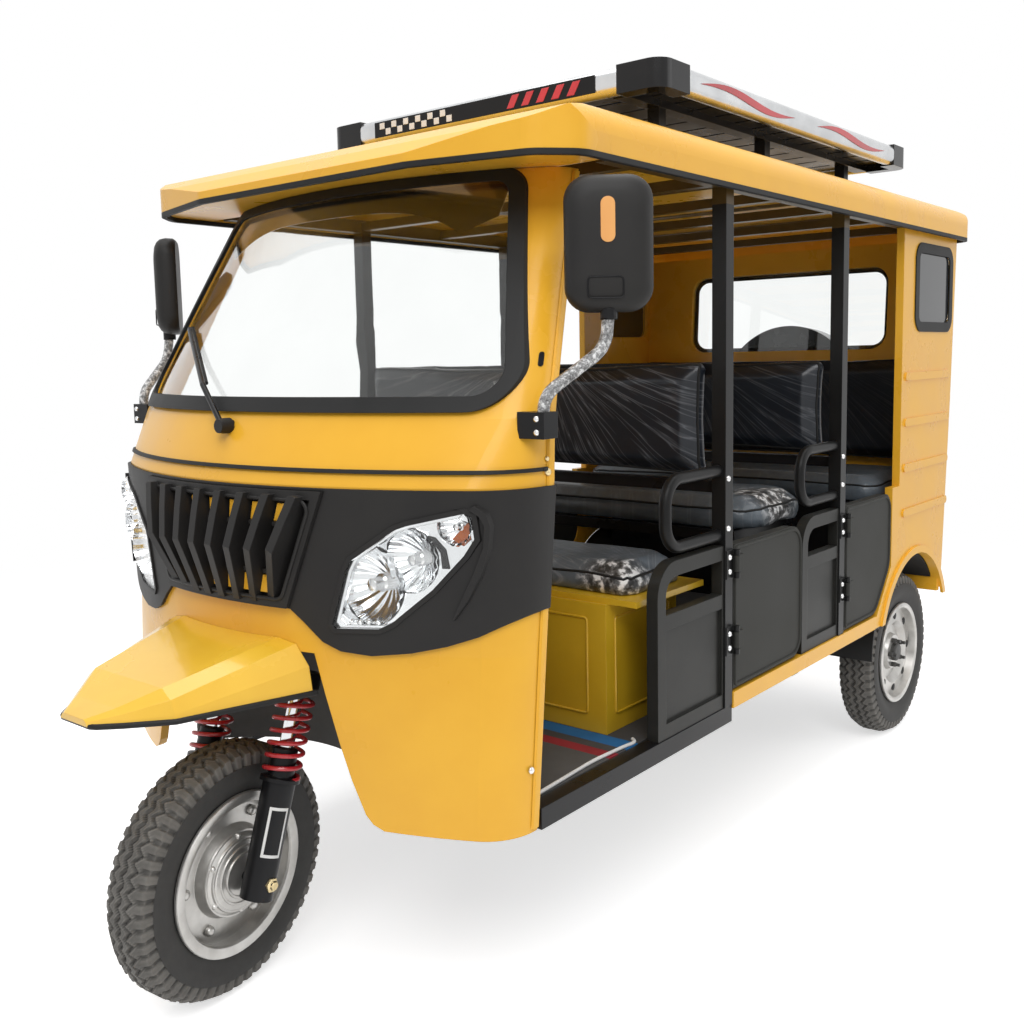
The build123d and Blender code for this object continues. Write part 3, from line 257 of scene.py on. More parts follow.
def creased_film(name, low, high):
    """Crumpled clear wrapping over a dull bar, grey with white glints."""
    look = Look(name)
    crumple = look.noise(95.0, detail=5.0, rough=0.7)
    colour = look.ramp(crumple, [(0.36, low), (0.52, grey(0.28)), (0.62, high)])
    look.surface({"Base Color": colour, "Roughness": 0.16, "Coat Weight": 0.6})
    look.bump(crumple, 0.9, 0.006, soften=0)
    return look.material


def zoned(name, letter, low, high, stops, rough, specular):
    """Finish whose colour changes along one axis at hard steps, under a cloudy wear."""
    look = Look(name)
    zones = look.ramp(look.span(look.axis(look.place, letter), low, high), stops, steps=True)
    shade = look.span(look.noise(14.0, detail=6.0), 0.3, 0.7, 0.86, 1.12)
    worn = look.add("ShaderNodeHueSaturation", {"Color": zones, "Value": shade}, "Color")
    look.surface({"Base Color": worn, "Roughness": rough, "Specular IOR Level": specular})
    look.bump(look.fine(500.0), 0.15, 0.0003)
    return look.material


YELLOW = finish("yellow_paint", (0.84, 0.43, 0.030), (0.88, 0.47, 0.038), 0.30, coat=0.12, grain=500,
                grain_strength=0.05, specular=0.3)
LEMON = finish("lemon_paint", (0.86, 0.50, 0.034), (0.90, 0.55, 0.044), 0.24, coat=0.4, grain=500,
               grain_strength=0.05)
OCHRE = finish("ochre_paint", (0.60, 0.36, 0.015), (0.66, 0.41, 0.02), 0.34, coat=0.2, grain=400)
MASK = finish("mask_plastic", (0.014, 0.013, 0.013), (0.020, 0.019, 0.018), 0.5, grain=900,
              grain_strength=0.35, specular=0.25)
BLACK = finish("black_enamel", (0.006, 0.006, 0.007), (0.010, 0.010, 0.011), 0.30, grain=600, specular=0.2)
DOOR = finish("door_coat", (0.030, 0.030, 0.027), (0.038, 0.038, 0.034), 0.55, grain=1200,
              grain_strength=0.3, specular=0.15)
RUBBER = finish("black_rubber", grey(0.011), grey(0.018), 0.55, grain=800, specular=0.22)
RIM = finish("rim_silver", (0.40, 0.39, 0.37), (0.58, 0.57, 0.55), 0.34, metallic=0.8, scale=14, grain=500)
CHROME = finish("lamp_chrome", (0.80, 0.81, 0.82), (0.88, 0.89, 0.90), 0.08, metallic=1.0, rough_spread=0.03)
STEEL = finish("bright_steel", grey(0.62), grey(0.74), 0.22, metallic=1.0)
BRASS = finish("brass_plate", (0.60, 0.48, 0.26), (0.70, 0.58, 0.34), 0.28, metallic=1.0)
CASTING = finish("casting", (0.035, 0.034, 0.033), (0.060, 0.058, 0.055), 0.55, scale=20)
RED = finish("red_enamel", (0.45, 0.015, 0.025), (0.56, 0.025, 0.035), 0.28, coat=0.4)
GLOSS = finish("gloss_black", (0.006, 0.006, 0.007), (0.012, 0.012, 0.013), 0.20, coat=0.1, specular=0.25)
RAIL = finish("bright_rail", (0.56, 0.57, 0.58), (0.68, 0.69, 0.70), 0.24, metallic=0.9, scale=9)
TAIL = finish("tail_red", (0.36, 0.006, 0.008), (0.46, 0.012, 0.012), 0.14, coat=0.6)
AMBER = finish("amber_plastic", (0.82, 0.36, 0.09), (0.88, 0.42, 0.12), 0.22, coat=0.5)
LAMP_AMBER = finish("lamp_amber", (0.40, 0.075, 0.004), (0.56, 0.13, 0.008), 0.2, scale=60, specular=0.2)
WHITE_TRIM = finish("white_trim", (0.68, 0.68, 0.67), (0.78, 0.78, 0.77), 0.4)
MIRROR = finish("mirror_silver", (0.82, 0.84, 0.85), (0.86, 0.88, 0.89), 0.03, metallic=1.0,
                rough_spread=0.01)
GLASS = clear("window_glass", (0.95, 0.97, 0.96), 0.02, grain_strength=0.0)
LENS = clear("lamp_glass", (0.97, 0.98, 0.98), 0.03, grain=90, grain_strength=0.1)
TINT = clear("sun_film", (0.16, 0.095, 0.045), 0.04)
LINING = finish("lining_film", (0.085, 0.050, 0.012), (0.145, 0.088, 0.020), 0.36, scale=11, grain=34,
                grain_depth=0.004, grain_strength=0.6)
# Painted shade: dark glossy sheet for the rear side windows, standing for the shaded inside behind the glass.
WINDOW_SHADE = finish("painted_window_shade", (0.030, 0.032, 0.034), (0.040, 0.042, 0.045), 0.08, scale=3,
                   grain_strength=0.02)
TYRE = dusty_rubber()
ARM_FILM = creased_film("arm_film", grey(0.05), grey(0.85))
POSTS = zoned("post_enamel", "Z", 0.0, 2.0, [(0.0, grey(0.010)), (0.807, (0.085, 0.052, 0.014))], 0.30, 0.2)
GUARDS = zoned("guard_enamel", "Z", 0.0, 1.0, [(0.0, (0.022, 0.022, 0.020)), (0.846, grey(0.010))], 0.36,
               0.16)
MAT_DUST = (0.085, 0.084, 0.082)
MAT_RED = (0.26, 0.025, 0.035)
MAT_GREY = (0.060, 0.060, 0.063)
MAT_BLUE = (0.02, 0.13, 0.32)
MAT_STRIPES = [(0.0, MAT_DUST), (0.485, MAT_RED), (0.545, MAT_GREY), (0.595, MAT_BLUE), (0.672, MAT_GREY)]
MAT = zoned("floor_mat", "Y", at(0.30), at(0.90), MAT_STRIPES, 0.6, 0.2)
BACKREST = filmed_vinyl("backrest_film", (0.007, 0.009, 0.013), (0.10, at(1.004), 1.31), ("X", "Z"), 0.05, [])
CUSHION_GLINT_SPOTS = [((0.500, at(0.735), 0.785), 0.12), ((0.500, at(1.480), 0.890), 0.12)]
# Painted reflection: the cushions' tone is lighter and bluer than the backrests' black vinyl, standing for
# the sky reflected in the film on the seat tops.
CUSHION = filmed_vinyl("cushion_film", (0.075, 0.090, 0.105), (0.62, at(0.70), 0.80), ("X", "Y"), 0.45,
                       CUSHION_GLINT_SPOTS)

NODE_FINISH = [
    (YELLOW, ["cab_shell", "side_sills", "rear_body", "roof"]),
    (LEMON, ["front_fender"]),
    (OCHRE, ["seat_box"]),
    (MASK, ["front_mask", "front_grille", "mirrors"]),
    (RUBBER, ["wheel_arch_liners", "window_seals"]),
    (BLACK, ["chassis_frame", "seat_frames", "rear_bumper", "rack_deck"]),
    (BLACK, ["fork_sliders", "fork_yoke", "wiper"]),
    (POSTS, ["side_frames"]),
    (GUARDS, ["side_guards"]),
    (DOOR, ["door_mid_left", "door_mid_right", "door_rear_left", "door_rear_right"]),
    (MAT, ["floor_pan"]),
    (GLASS, ["window_glass"]),
    (LENS, ["headlamp_lenses"]),
    (CHROME, ["headlamp_buckets"]),
    (CUSHION, ["seat_cushions"]),
    (BACKREST, ["seat_backrests"]),
    (TYRE, ["tyre_front", "tyre_rear_left", "tyre_rear_right"]),
    (RIM, ["rim_front", "rim_rear_left", "rim_rear_right"]),
    (CASTING, ["engine_block", "rear_axle", "leaf_springs"]),
    (RED, ["fork_springs"]),
    (MIRROR, ["mirror_glass"]),
    (RAIL, ["rack_rails"]),
    (GLOSS, ["rack_caps", "spare_wheel_cover"]),
    (TAIL, ["tail_lamps"]),
]
for material, node_names in NODE_FINISH:
    for node_name in node_names:
        for slot in nodes[node_name].material_slots:
            slot.material = material


# Mesh pieces
SHARP_ANGLE = math.radians(38)
DOME = [(0, 1), (0.45, 1), (0.8, 0.75), (1, 0.35)]


class Shape:
    """Vertices and faces of one new piece; each simple form is added to them and gives the shape back."""

    def __init__(self):
        self.verts = []
        self.faces = []

    def grid(self, rows, close_rows=False, close_columns=False):
        """Quads between equal rows of points."""
        count, width, base = len(rows), len(rows[0]), len(self.verts)
        for i in range(count if close_rows else count - 1):
            for j in range(width if close_columns else width - 1):
                near, far = base + i * width, base + (i + 1) % count * width
                beside = (j + 1) % width
                self.faces.append((near + j, near + beside, far + beside, far + j))
        self.verts += [Vector(point) for row in rows for point in row]
        return self

    def ring_stack(self, rings):
        """Closed rings joined in order, both ends capped."""
        width, base = len(rings[0]), len(self.verts)
        self.grid(rings, close_columns=True)
        last = base + (len(rings) - 1) * width
        self.faces.append(tuple(base + j for j in reversed(range(width))))
        self.faces.append(tuple(last + j for j in range(width)))
        return self

    def box(self, low, high):
        """Upright box between two corners."""
        (x0, y0, z0), (x1, y1, z1) = low, high
        return self.ring_stack([[(x0, y0, z), (x1, y0, z), (x1, y1, z), (x0, y1, z)] for z in (z0, z1)])

    def tube(self, points, radius, sides=8, closed=False):
        """Round tube along a path, its frame carried along without twist."""
        path = [Vector(p) for p in points]
        count = len(path)
        rings = []
        side = None
        for i, point in enumerate(path):
            if closed:
                ahead = path[(i + 1) % count] - path[i - 1]
            else:
                ahead = path[min(i + 1, count - 1)] - path[max(i - 1, 0)]
            ahead.normalize()
            if side is None:
                side = ahead.orthogonal()
            side = (side - ahead * side.dot(ahead)).normalized()
            up = ahead.cross(side)
            turns = [2 * math.pi * j / sides for j in range(sides)]
            rings.append([point + (side * math.cos(a) + up * math.sin(a)) * radius for a in turns])
        if closed:
            return self.grid(rings, close_rows=True, close_columns=True)
        return self.ring_stack(rings)

    def lathe(self, profile, origin, axis, steps, closed=False):
        """Profile of (distance along the axis, radius) turned about the axis."""
        ahead = Vector(axis).normalized()
        side = ahead.orthogonal().normalized()
        up = ahead.cross(side)
        rows = []
        for i in range(steps):
            a = 2 * math.pi * i / steps
            out = side * math.cos(a) + up * math.sin(a)
            rows.append([Vector(origin) + ahead * along + out * radius for along, radius in profile])
        return self.grid(rows, close_rows=True, close_columns=closed)

    def dome(self, centre, direction, radius, height, steps=14):
        """Rounded bolt head standing on a surface."""
        profile = [(height * along, radius * share) for along, share in DOME]
        return self.lathe(profile + [(height, POINT_R)], centre, direction, steps)

    def side_domes(self, side, x, station, heights, radius, height):
        """Bolt heads one above another on a side face."""
        for z in heights:
            self.dome((side * x, at(station), z), (side, 0, 0), radius, height)
        return self

    def piece(self, name, material, body="vehicle", smooth=True, slot=None, instead_of=None):
        """The finished object, riding on a body; it may take the place of a node."""
        mesh = bpy.data.meshes.new(name)
        mesh.from_pydata([tuple(v) for v in self.verts], [], self.faces)
        mesh.validate()
        work = bmesh.new()
        work.from_mesh(mesh)
        bmesh.ops.recalc_face_normals(work, faces=work.faces)
        work.to_mesh(mesh)
        work.free()
        mesh.materials.append(material)
        obj = bpy.data.objects.new(name, mesh)
        bpy.context.collection.objects.link(obj)
        if smooth:
            mesh.shade_smooth()
            mesh.set_sharp_from_angle(angle=SHARP_ANGLE)
        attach(obj, body)
        if instead_of:
            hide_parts(instead_of)
        return obj


def round_corners(points, radii, steps=6):
    """Flat polygon of 2-D points with arcs at its corners."""
    result = []
    count = len(points)
    for i, (point, radius) in enumerate(zip(points, radii)):
        here = Vector(point)
        before = (Vector(points[i - 1]) - here).normalized()
        after = (Vector(points[(i + 1) % count]) - here).normalized()
        half = before.angle(after) / 2
        reach = radius / math.tan(half)
        centre = here + (before + after).normalized() * (radius / math.sin(half))
        start = here + before * reach - centre
        end = here + after * reach - centre
        sweep = math.atan2(start.x * end.y - start.y * end.x, start.dot(end))
        for k in range(steps + 1):
            a = sweep * k / steps
            result.append(centre + Vector((start.x * math.cos(a) - start.y * math.sin(a),
                                           start.x * math.sin(a) + start.y * math.cos(a))))
    return result


def rounded_oblong(low, high, radius, steps=6):
    """Upright 2-D oblong between two corners, with round corners."""
    corners = [low, (high[0], low[1]), high, (low[0], high[1])]
    return round_corners(corners, [radius] * 4, steps)


def divided(points, steps, closed=False):
    """Path with each stretch cut into equal steps."""
    path = []
    for first, second in zip(points, points[1:] + points[:1] if closed else points[1:]):
        path += [first.lerp(second, k / steps) for k in range(steps)]
    return path if closed else path + points[-1:]


BEND_REACH = 0.030
BEND_SHARE = 0.45
BEND_STEPS = 8


def smooth_path(points):
    """Path through points with rounded bends."""
    corners = [Vector(point) for point in points]
    path = corners[:1]
    for first, bend, last in zip(corners, corners[1:], corners[2:]):
        start = bend.lerp(first, min(BEND_SHARE, BEND_REACH / (first - bend).length))
        end = bend.lerp(last, min(BEND_SHARE, BEND_REACH / (last - bend).length))
        for k in range(BEND_STEPS + 1):
            t = k / BEND_STEPS
            path.append(start.lerp(bend, t).lerp(bend.lerp(end, t), t))
    return path + corners[-1:]


def mirrored(points):
    """Points on the other side of the middle plane."""
    return [Vector((-p[0], p[1], p[2])) for p in points]


# Cab skin: plan rows of height, half width, jamb, front centre, arc rise and corner radius, as in the solids
SKIN_ROWS = [
    (0.397, 0.606, 0.304, 0.062, 0.168, 0.110), (0.740, 0.612, 0.330, 0.062, 0.196, 0.126),
    (1.050, 0.616, 0.357, 0.064, 0.184, 0.150), (1.172, 0.612, 0.367, 0.122, 0.178, 0.090),
    (1.654, 0.517, 0.590, 0.410, 0.128, 0.060),
]
CORNER_STEPS = 8
ARC_STEPS = 24


def skin_row(z):
    """Half width, jamb, front, arc radius and corner radius at a height."""
    pairs = list(zip(SKIN_ROWS, SKIN_ROWS[1:]))
    low, high = next((pair for pair in pairs if z <= pair[1][0]), pairs[-1])
    share = (z - low[0]) / (high[0] - low[0])
    half, jamb, front, rise, corner = [a + (b - a) * share for a, b in zip(low[1:], high[1:])]
    return half, jamb, front, (half ** 2 + rise ** 2) / (2 * rise), corner


def on_front(x, z, out):
    """Point of the cab's curved front at a width and height, lifted off the skin."""
    half, _, front, radius, _ = skin_row(z)
    reach = min(abs(x), half)
    return Vector((x, at(front + radius - math.sqrt((radius + out) ** 2 - reach ** 2)), z))


def skin_arcs(z, out):
    """Centre and radius of the front arc, then middle, radius and end angle of the corner, at a height."""
    half, _, front, radius, corner = skin_row(z)
    side, big, bend = half + out, radius + out, corner + out
    centre = front + radius
    middle = Vector((side - bend, centre - math.sqrt((big - bend) ** 2 - (side - bend) ** 2)))
    return centre, big, middle, bend, math.atan2(middle.x, centre - middle.y)


def on_corner(z, share, out):
    """Point on the rounded front corner of the left pillar, from its side face to its front."""
    _, _, middle, bend, toward = skin_arcs(z, out)
    a = math.pi / 2 + (toward - math.pi / 2) * share
    return Vector((middle.x + bend * math.sin(a), at(middle.y - bend * math.cos(a)), z))


def skin_plan(z, out, rear_gap):
    """Left half of the cab's plan at a height, from the jamb round to the middle."""
    half, jamb = skin_row(z)[:2]
    centre, big, _, _, toward = skin_arcs(z, out)
    points = [Vector((half + out, at(jamb - rear_gap), z))]
    points += [on_corner(z, k / CORNER_STEPS, out) for k in range(CORNER_STEPS + 1)]
    for k in range(1, ARC_STEPS + 1):
        a = toward * (1 - k / ARC_STEPS)
        points.append(Vector((big * math.sin(a), at(centre - big * math.cos(a)), z)))
    return points


def patch(shape, edge_low, edge_high, low_out, high_out, across):
    """Closed thin layer on the cab front between two edges of (x, z) points."""
    edges = [(Vector(low), Vector(high)) for low, high in zip(edge_low, edge_high)]

    def row(share, out):
        """Points between the two edges, lifted off the skin."""
        return [on_front(*low.lerp(high, share), out) for low, high in edges]

    for out in (high_out, low_out):
        shape.grid([row(k / across, out) for k in range(across + 1)])
    for share in (0, 1):
        shape.grid([row(share, low_out), row(share, high_out)])
    for end in (0, -1):
        shape.grid([[row(share, out)[end] for share in (0, 1)] for out in (low_out, high_out)])
    return shape


def patch_pair(name, material, inner, outer, low_out, high_out, across):
    """Piece of two like layers, one on each half of the cab front."""
    shape = Shape()
    for side, _ in SIDES:
        edges = [[(side * x, z) for x, z in edge] for edge in (inner, outer)]
        patch(shape, *edges, low_out, high_out, across)
    shape.piece(name, material)


# Nose trim: black line round the nose and folded edges along the jambs
TRIM_LOW, TRIM_HIGH = 1.075, 1.082
TRIM_SECTION = [(TRIM_LOW, 0.001), (TRIM_LOW, 0.006), (TRIM_HIGH, 0.006), (TRIM_HIGH, 0.001)]
TRIM_REAR_GAP = 0.035
trim_rows = []
for z, out in TRIM_SECTION:
    half_plan = skin_plan(z, out, TRIM_REAR_GAP)
    trim_rows.append(half_plan + mirrored(half_plan[-2::-1]))
Shape().grid(trim_rows, close_rows=True).piece("nose_trim_line", RUBBER)

FOLD_HEIGHTS = [0.405 + 0.05 * k for k in range(25)] + [1.648]
FOLD = [(0.002, 0.0006), (0.002, 0.005), (0.012, 0.006), (0.018, 0.005), (0.020, 0.0006)]
folds = Shape()
for side, _ in SIDES:
    rows = []
    for gap, out in FOLD:
        skin = [(z, *skin_row(z)[:2]) for z in FOLD_HEIGHTS]
        rows.append([(side * (half + out), at(jamb - gap), z) for z, half, jamb in skin])
    folds.grid(rows)
folds.piece("jamb_folds", YELLOW)

# Headlamps: fluted bowls, bulbs, chrome surround, small lamps along the foot and amber at the outer tip
BOWLS = [(0.362, 0.868, 0.080), (0.442, 0.918, 0.064), (0.526, 0.982, 0.038)]
BOWL_FORWARD = 0.014
BOWL_GAP = 0.0015
BOWL_TILTS = [math.radians(8 + 66 * k / 9) for k in range(10)]
NOSE_CURVE = 2.220
NOSE_FRONT = 0.064
FLUTES = 16
FLUTE_STEPS = 8
FLUTE_DEPTH = 0.022
BULB_LIFT = 0.004
BULB = [(-0.62, 0.22), (-0.56, 0.16), (-0.30, 0.15)]
BULB_TIP = -0.26
reflector = Shape()
bulbs = Shape()
for x, z, r in BOWLS:
    for side, _ in SIDES:
        centre = Vector((side * x, at(NOSE_FRONT + x ** 2 / NOSE_CURVE - BOWL_FORWARD), z))
        rows = []
        for i in range(FLUTE_STEPS * FLUTES):
            a = 2 * math.pi * i / (FLUTE_STEPS * FLUTES)
            row = []
            for tilt in BOWL_TILTS:
                flute = FLUTE_DEPTH * (1 + math.cos(FLUTES * a)) * math.sin(tilt)
                way = Vector((math.sin(tilt) * math.cos(a), math.cos(tilt), math.sin(tilt) * math.sin(a)))
                row.append(centre + (r - BOWL_GAP) * (1 - flute) * way)
            rows.append(row)
        reflector.grid(rows, close_rows=True)
        bulb = [(BULB_LIFT - r, BULB[0][1] * r)] + [(along * r, radius * r) for along, radius in BULB]
        bulbs.lathe(bulb + [(BULB_TIP * r, POINT_R)], centre, FORWARD, 20)
reflector.piece("headlamp_reflectors", CHROME)
bulbs.piece("headlamp_bulbs", STEEL)

LAMP_EDGE = [
    (0.542, 1.016), (0.561, 1.006), (0.565, 0.959), (0.546, 0.926), (0.491, 0.861), (0.416, 0.795),
    (0.387, 0.780), (0.295, 0.775), (0.284, 0.789), (0.316, 0.897), (0.329, 0.921), (0.416, 0.982),
    (0.439, 0.991),
]
LAMP_MIDDLE = Vector((0.430, 0.888))


def lamp_ring(share):
    """Headlamp outline drawn in towards its middle, closed."""
    return [LAMP_MIDDLE.lerp(Vector(point), share) for point in LAMP_EDGE + LAMP_EDGE[:1]]


patch_pair("headlamp_surrounds", CHROME, lamp_ring(0.86), lamp_ring(0.93), -0.006, 0.001, 1)

FOOT_LAMP_COUNT = 6
FOOT_LAMP = (0.304, 0.793)
FOOT_LAMP_STEP = (0.017, 0.0012)
FOOT_LAMP_SINK = -0.008
FOOT_LAMP_DOME = (0.0062, 0.008)
foot_lamps = Shape()
for k in range(FOOT_LAMP_COUNT):
    x, z = [start + step * k for start, step in zip(FOOT_LAMP, FOOT_LAMP_STEP)]
    for side, _ in SIDES:
        foot_lamps.dome(on_front(side * x, z, FOOT_LAMP_SINK), FORWARD, *FOOT_LAMP_DOME)
foot_lamps.piece("headlamp_foot_lamps", STEEL)

AMBER_UPPER = [(0.514, 0.960), (0.543, 0.993)]
AMBER_LOWER = [(0.532, 0.947), (0.553, 0.968)]
patch_pair("headlamp_amber", LAMP_AMBER, AMBER_UPPER, AMBER_LOWER, -0.010, 0.0005, 3)

DARK_ARM_OUTER = [(0.462, 0.968), (0.486, 0.962), (0.503, 0.940), (0.508, 0.905)]
DARK_ARM_INNER = [(0.462, 0.962), (0.482, 0.953), (0.494, 0.934), (0.496, 0.905)]
patch_pair("headlamp_dark_arms", GLOSS, DARK_ARM_INNER, DARK_ARM_OUTER, -0.008, 0.0012, 1)

# Mask: crescent swage outside each headlamp
SWAGE_OUTER = [(0.560, 1.022), (0.578, 1.008), (0.584, 0.985), (0.580, 0.945), (0.566, 0.895), (0.545, 0.850),
               (0.520, 0.812)]
SWAGE_INNER = [(0.552, 1.014), (0.568, 1.002), (0.575, 0.985), (0.572, 0.946), (0.556, 0.900), (0.536, 0.854),
               (0.519, 0.813)]
patch_pair("mask_swages", MASK, SWAGE_INNER, SWAGE_OUTER, 0.004, 0.0155, 3)

# Grille: dark sheet of painted shade in the recess, yellow showing between the slats, small tabs beside them
# and a rim
GRILLE_TOP, GRILLE_FOOT = 1.024, 0.830
GRILLE_MIDDLE = 0.930
GRILLE_HALF_TOP, GRILLE_HALF_FOOT = 0.262, 0.184
GRILLE_SLOPE = 0.4
SLAT_COUNT = 8
SLAT_STEP = 0.056
SLAT_FAN = 1.9
GRILLE_SHADE_LOW, GRILLE_SHADE_HIGH = 0.0012, 0.0030
WINDOW_HALF = 0.0105
WINDOW_LOW, WINDOW_HIGH = 0.0032, 0.0115
WINDOW_SHIFT = -0.005
WINDOW_MARGIN = 0.012
WINDOW_HEIGHTS = ((0.982, 1.016), (0.840, 0.874))
TAB_HALF = 0.010
TAB_LOW, TAB_HIGH = 0.003, 0.022
TAB_DROP, TAB_RISE = 0.005, 0.003
TAB_HEIGHTS = (0.885, 0.930, 0.978)
RIM_OUT = 0.0165
RIM_R = 0.004
RIM_CORNER = 0.020


def grille_x(index, z):
    """Middle of the gap before a slat, at a height; the slats lean outwards at the top."""
    x = (index - SLAT_COUNT / 2) * SLAT_STEP
    return x + (z - GRILLE_MIDDLE) * math.sin(x * SLAT_FAN)


def in_grille(x, z, margin):
    """Whether a place is clear of the grille's sides."""
    return abs(x) < GRILLE_HALF_FOOT + (z - GRILLE_FOOT) * GRILLE_SLOPE - margin


shares = [k / 10 - 1 for k in range(21)]
foot_edge = [(GRILLE_HALF_FOOT * share, GRILLE_FOOT) for share in shares]
top_edge = [(GRILLE_HALF_TOP * share, GRILLE_TOP) for share in shares]
# Painted shade: a black sheet over the yellow skin across the grille, darkening its recess between the slats.
patch(Shape(), foot_edge, top_edge, GRILLE_SHADE_LOW, GRILLE_SHADE_HIGH, 5).piece("grille_painted_shade", RUBBER)
windows = Shape()
tabs = Shape()
for index in range(SLAT_COUNT + 1):
    for heights in WINDOW_HEIGHTS:
        middles = [(grille_x(index, z) + WINDOW_SHIFT, z) for z in heights]
        if in_grille(*middles[0], WINDOW_MARGIN):
            edges = [[(x - WINDOW_HALF, z), (x + WINDOW_HALF, z)] for x, z in middles]
            patch(windows, *edges, WINDOW_LOW, WINDOW_HIGH, 1)
    for z in TAB_HEIGHTS:
        x = grille_x(index, z)
        if in_grille(x, z, TAB_HALF):
            rear, front = on_front(x, z, TAB_LOW), on_front(x, z, TAB_HIGH)
            tabs.box((x - TAB_HALF, front.y, z - TAB_DROP), (x + TAB_HALF, rear.y, z + TAB_RISE))
windows.piece("grille_windows", YELLOW)
tabs.piece("grille_tabs", MASK)
rim_corners = [(-GRILLE_HALF_TOP, GRILLE_TOP), (GRILLE_HALF_TOP, GRILLE_TOP),
               (GRILLE_HALF_FOOT, GRILLE_FOOT), (-GRILLE_HALF_FOOT, GRILLE_FOOT)]
rim_path = divided(round_corners(rim_corners, [RIM_CORNER] * 4), 6, closed=True)
rim_path = [on_front(*p, RIM_OUT) for p in rim_path]
Shape().tube(rim_path, RIM_R, closed=True).piece("grille_inner_rim", MASK)

# Fender: rubber lip along the lower edge
FENDER_LIP = [(0.2385, 0.095, 0.6495), (0.152, -0.160, 0.645), (0.092, -0.226, 0.644), (0.046, -0.271, 0.644)]
LIP_R = 0.0055
lip_front = at(FENDER_LIP[-1][1]) + LIP_R
lip_path = divided([Vector((x, at(station), z)) for x, station, z in FENDER_LIP], 4)
lip_path = [Vector((p.x, max(p.y, lip_front), p.z)) for p in lip_path]
Shape().tube(lip_path + mirrored(reversed(lip_path)), LIP_R, 10).piece("fender_lip", RUBBER)

# Wheels: tyres with a zigzag tread and shoulder lugs, studs, nuts and rim lips
TREAD_BLOCKS = 56
TREAD_STEPS = 8
TREAD_DEPTH = 0.006
TREAD_COLUMNS = 33
ZIGZAG = 0.11
GROOVES = (-0.46, 0.0, 0.46)
GROOVE_HALF = 0.075
LUG_START = 0.74
LUG_GAP = 0.27
LUG_SINK = 0.35
CROWN_FLAT = 0.024
BEAD_WALL = [(0.0475, 0.176, 0.0), (0.0475, 0.1725, 0.0), (0.044, 0.164, 0.0), (0.043, 0.1585, 0.0)]
FRONT_CROWN = (0.258, 0.048, 0.244, 0.055, 0.208)
REAR_CROWN = (0.270, 0.050, 0.256, 0.057, 0.215)


class Wheel:
    """Hub point and directions of a wheel, from its joint."""

    def __init__(self, body):
        joint = joints[f"{body}_spin"]
        self.body = body
        self.hub = Vector(joint["pos_m"])
        self.axle = Vector(joint["axis"]).normalized()
        self.up = (Vector((0, 0, 1)) - self.axle * self.axle.z).normalized()
        self.ahead = self.axle.cross(self.up)

    def out(self, angle):
        """Direction away from the axle."""
        return self.ahead * math.cos(angle) + self.up * math.sin(angle)

    def around(self, offset, radius, count, start=0.0):
        """Evenly spaced points on a circle about the axle, moved along it."""
        for k in range(count):
            yield self.hub + offset + self.out(start + 2 * math.pi * k / count) * radius


def triangle_wave(turn):
    """Wave between -1 and 1 with period 1."""
    return 4 * abs(turn - math.floor(turn + 0.5)) - 1


def tread_depth(u, turn):
    """How deep the tread is cut at a place across (-1 to 1) and round the tyre (in blocks)."""
    wave = ZIGZAG * triangle_wave(turn)
    in_groove = any(abs(u - groove - wave) < GROOVE_HALF for groove in GROOVES)
    stagger = 0.5 if u > 0 else 0.0
    between_lugs = abs(u) > LUG_START and (turn + stagger) % 1.0 < LUG_GAP
    return TREAD_DEPTH if in_groove or between_lugs else 0.0


def tyre(node_name, wheel, crown):
    """Treaded tyre in place of a plain one: crown is radius, shoulder x and radius, bulge x and radius."""
    radius, shoulder_x, shoulder_r, bulge_x, bulge_r = crown
    across = []
    for k in range(TREAD_COLUMNS):
        u = 2 * k / (TREAD_COLUMNS - 1) - 1
        x = abs(u) * shoulder_x
        drop = (radius - shoulder_r) * max(0.0, x - CROWN_FLAT) / (shoulder_x - CROWN_FLAT)
        across.append((math.copysign(x, u), radius - drop, u, 1.0))
    wall = [(shoulder_x + 0.003, shoulder_r - 0.010, 0.95), (shoulder_x + 0.005, shoulder_r - 0.022, 0.9),
            (shoulder_x + 0.0055, shoulder_r - 0.024, 0.0), (bulge_x, bulge_r, 0.0),
            (bulge_x - 0.002, bulge_r - 0.018, 0.0), *BEAD_WALL]
    left = [(-x, r, -1.0, lug) for x, r, lug in reversed(wall)]
    right = [(x, r, 1.0, lug) for x, r, lug in wall]
    rows = []
    marks = []
    steps = TREAD_BLOCKS * TREAD_STEPS
    for i in range(steps):
        out = wheel.out(2 * math.pi * i / steps)
        row = []
        for x, r, u, lug in left + across + right:
            cut = tread_depth(u, i / TREAD_STEPS) * lug
            sink = 1.0 if lug == 1.0 else LUG_SINK
            inward = math.copysign(cut * (1 - sink), x)
            row.append(wheel.hub + wheel.axle * (x - inward) + out * (r - cut * sink))
            marks.append(1.0 if lug > 0 else 0.0)
        rows.append(row)
    tread = Shape().grid(rows, close_rows=True)
    obj = tread.piece(f"{wheel.body}_tread", TYRE, wheel.body, slot="tyre", instead_of=node_name)
    layer = obj.data.attributes.new("tread", "FLOAT", "POINT")
    layer.data.foreach_set("value", marks)


front_wheel = Wheel("front_wheel")
tyre("tyre_front", front_wheel, FRONT_CROWN)
rear_wheels = [(Wheel(f"rear_wheel_{label}"), side) for side, label in SIDES]
for wheel, _ in rear_wheels:
    tyre(wheel.body.replace("rear_wheel", "tyre_rear"), wheel, REAR_CROWN)

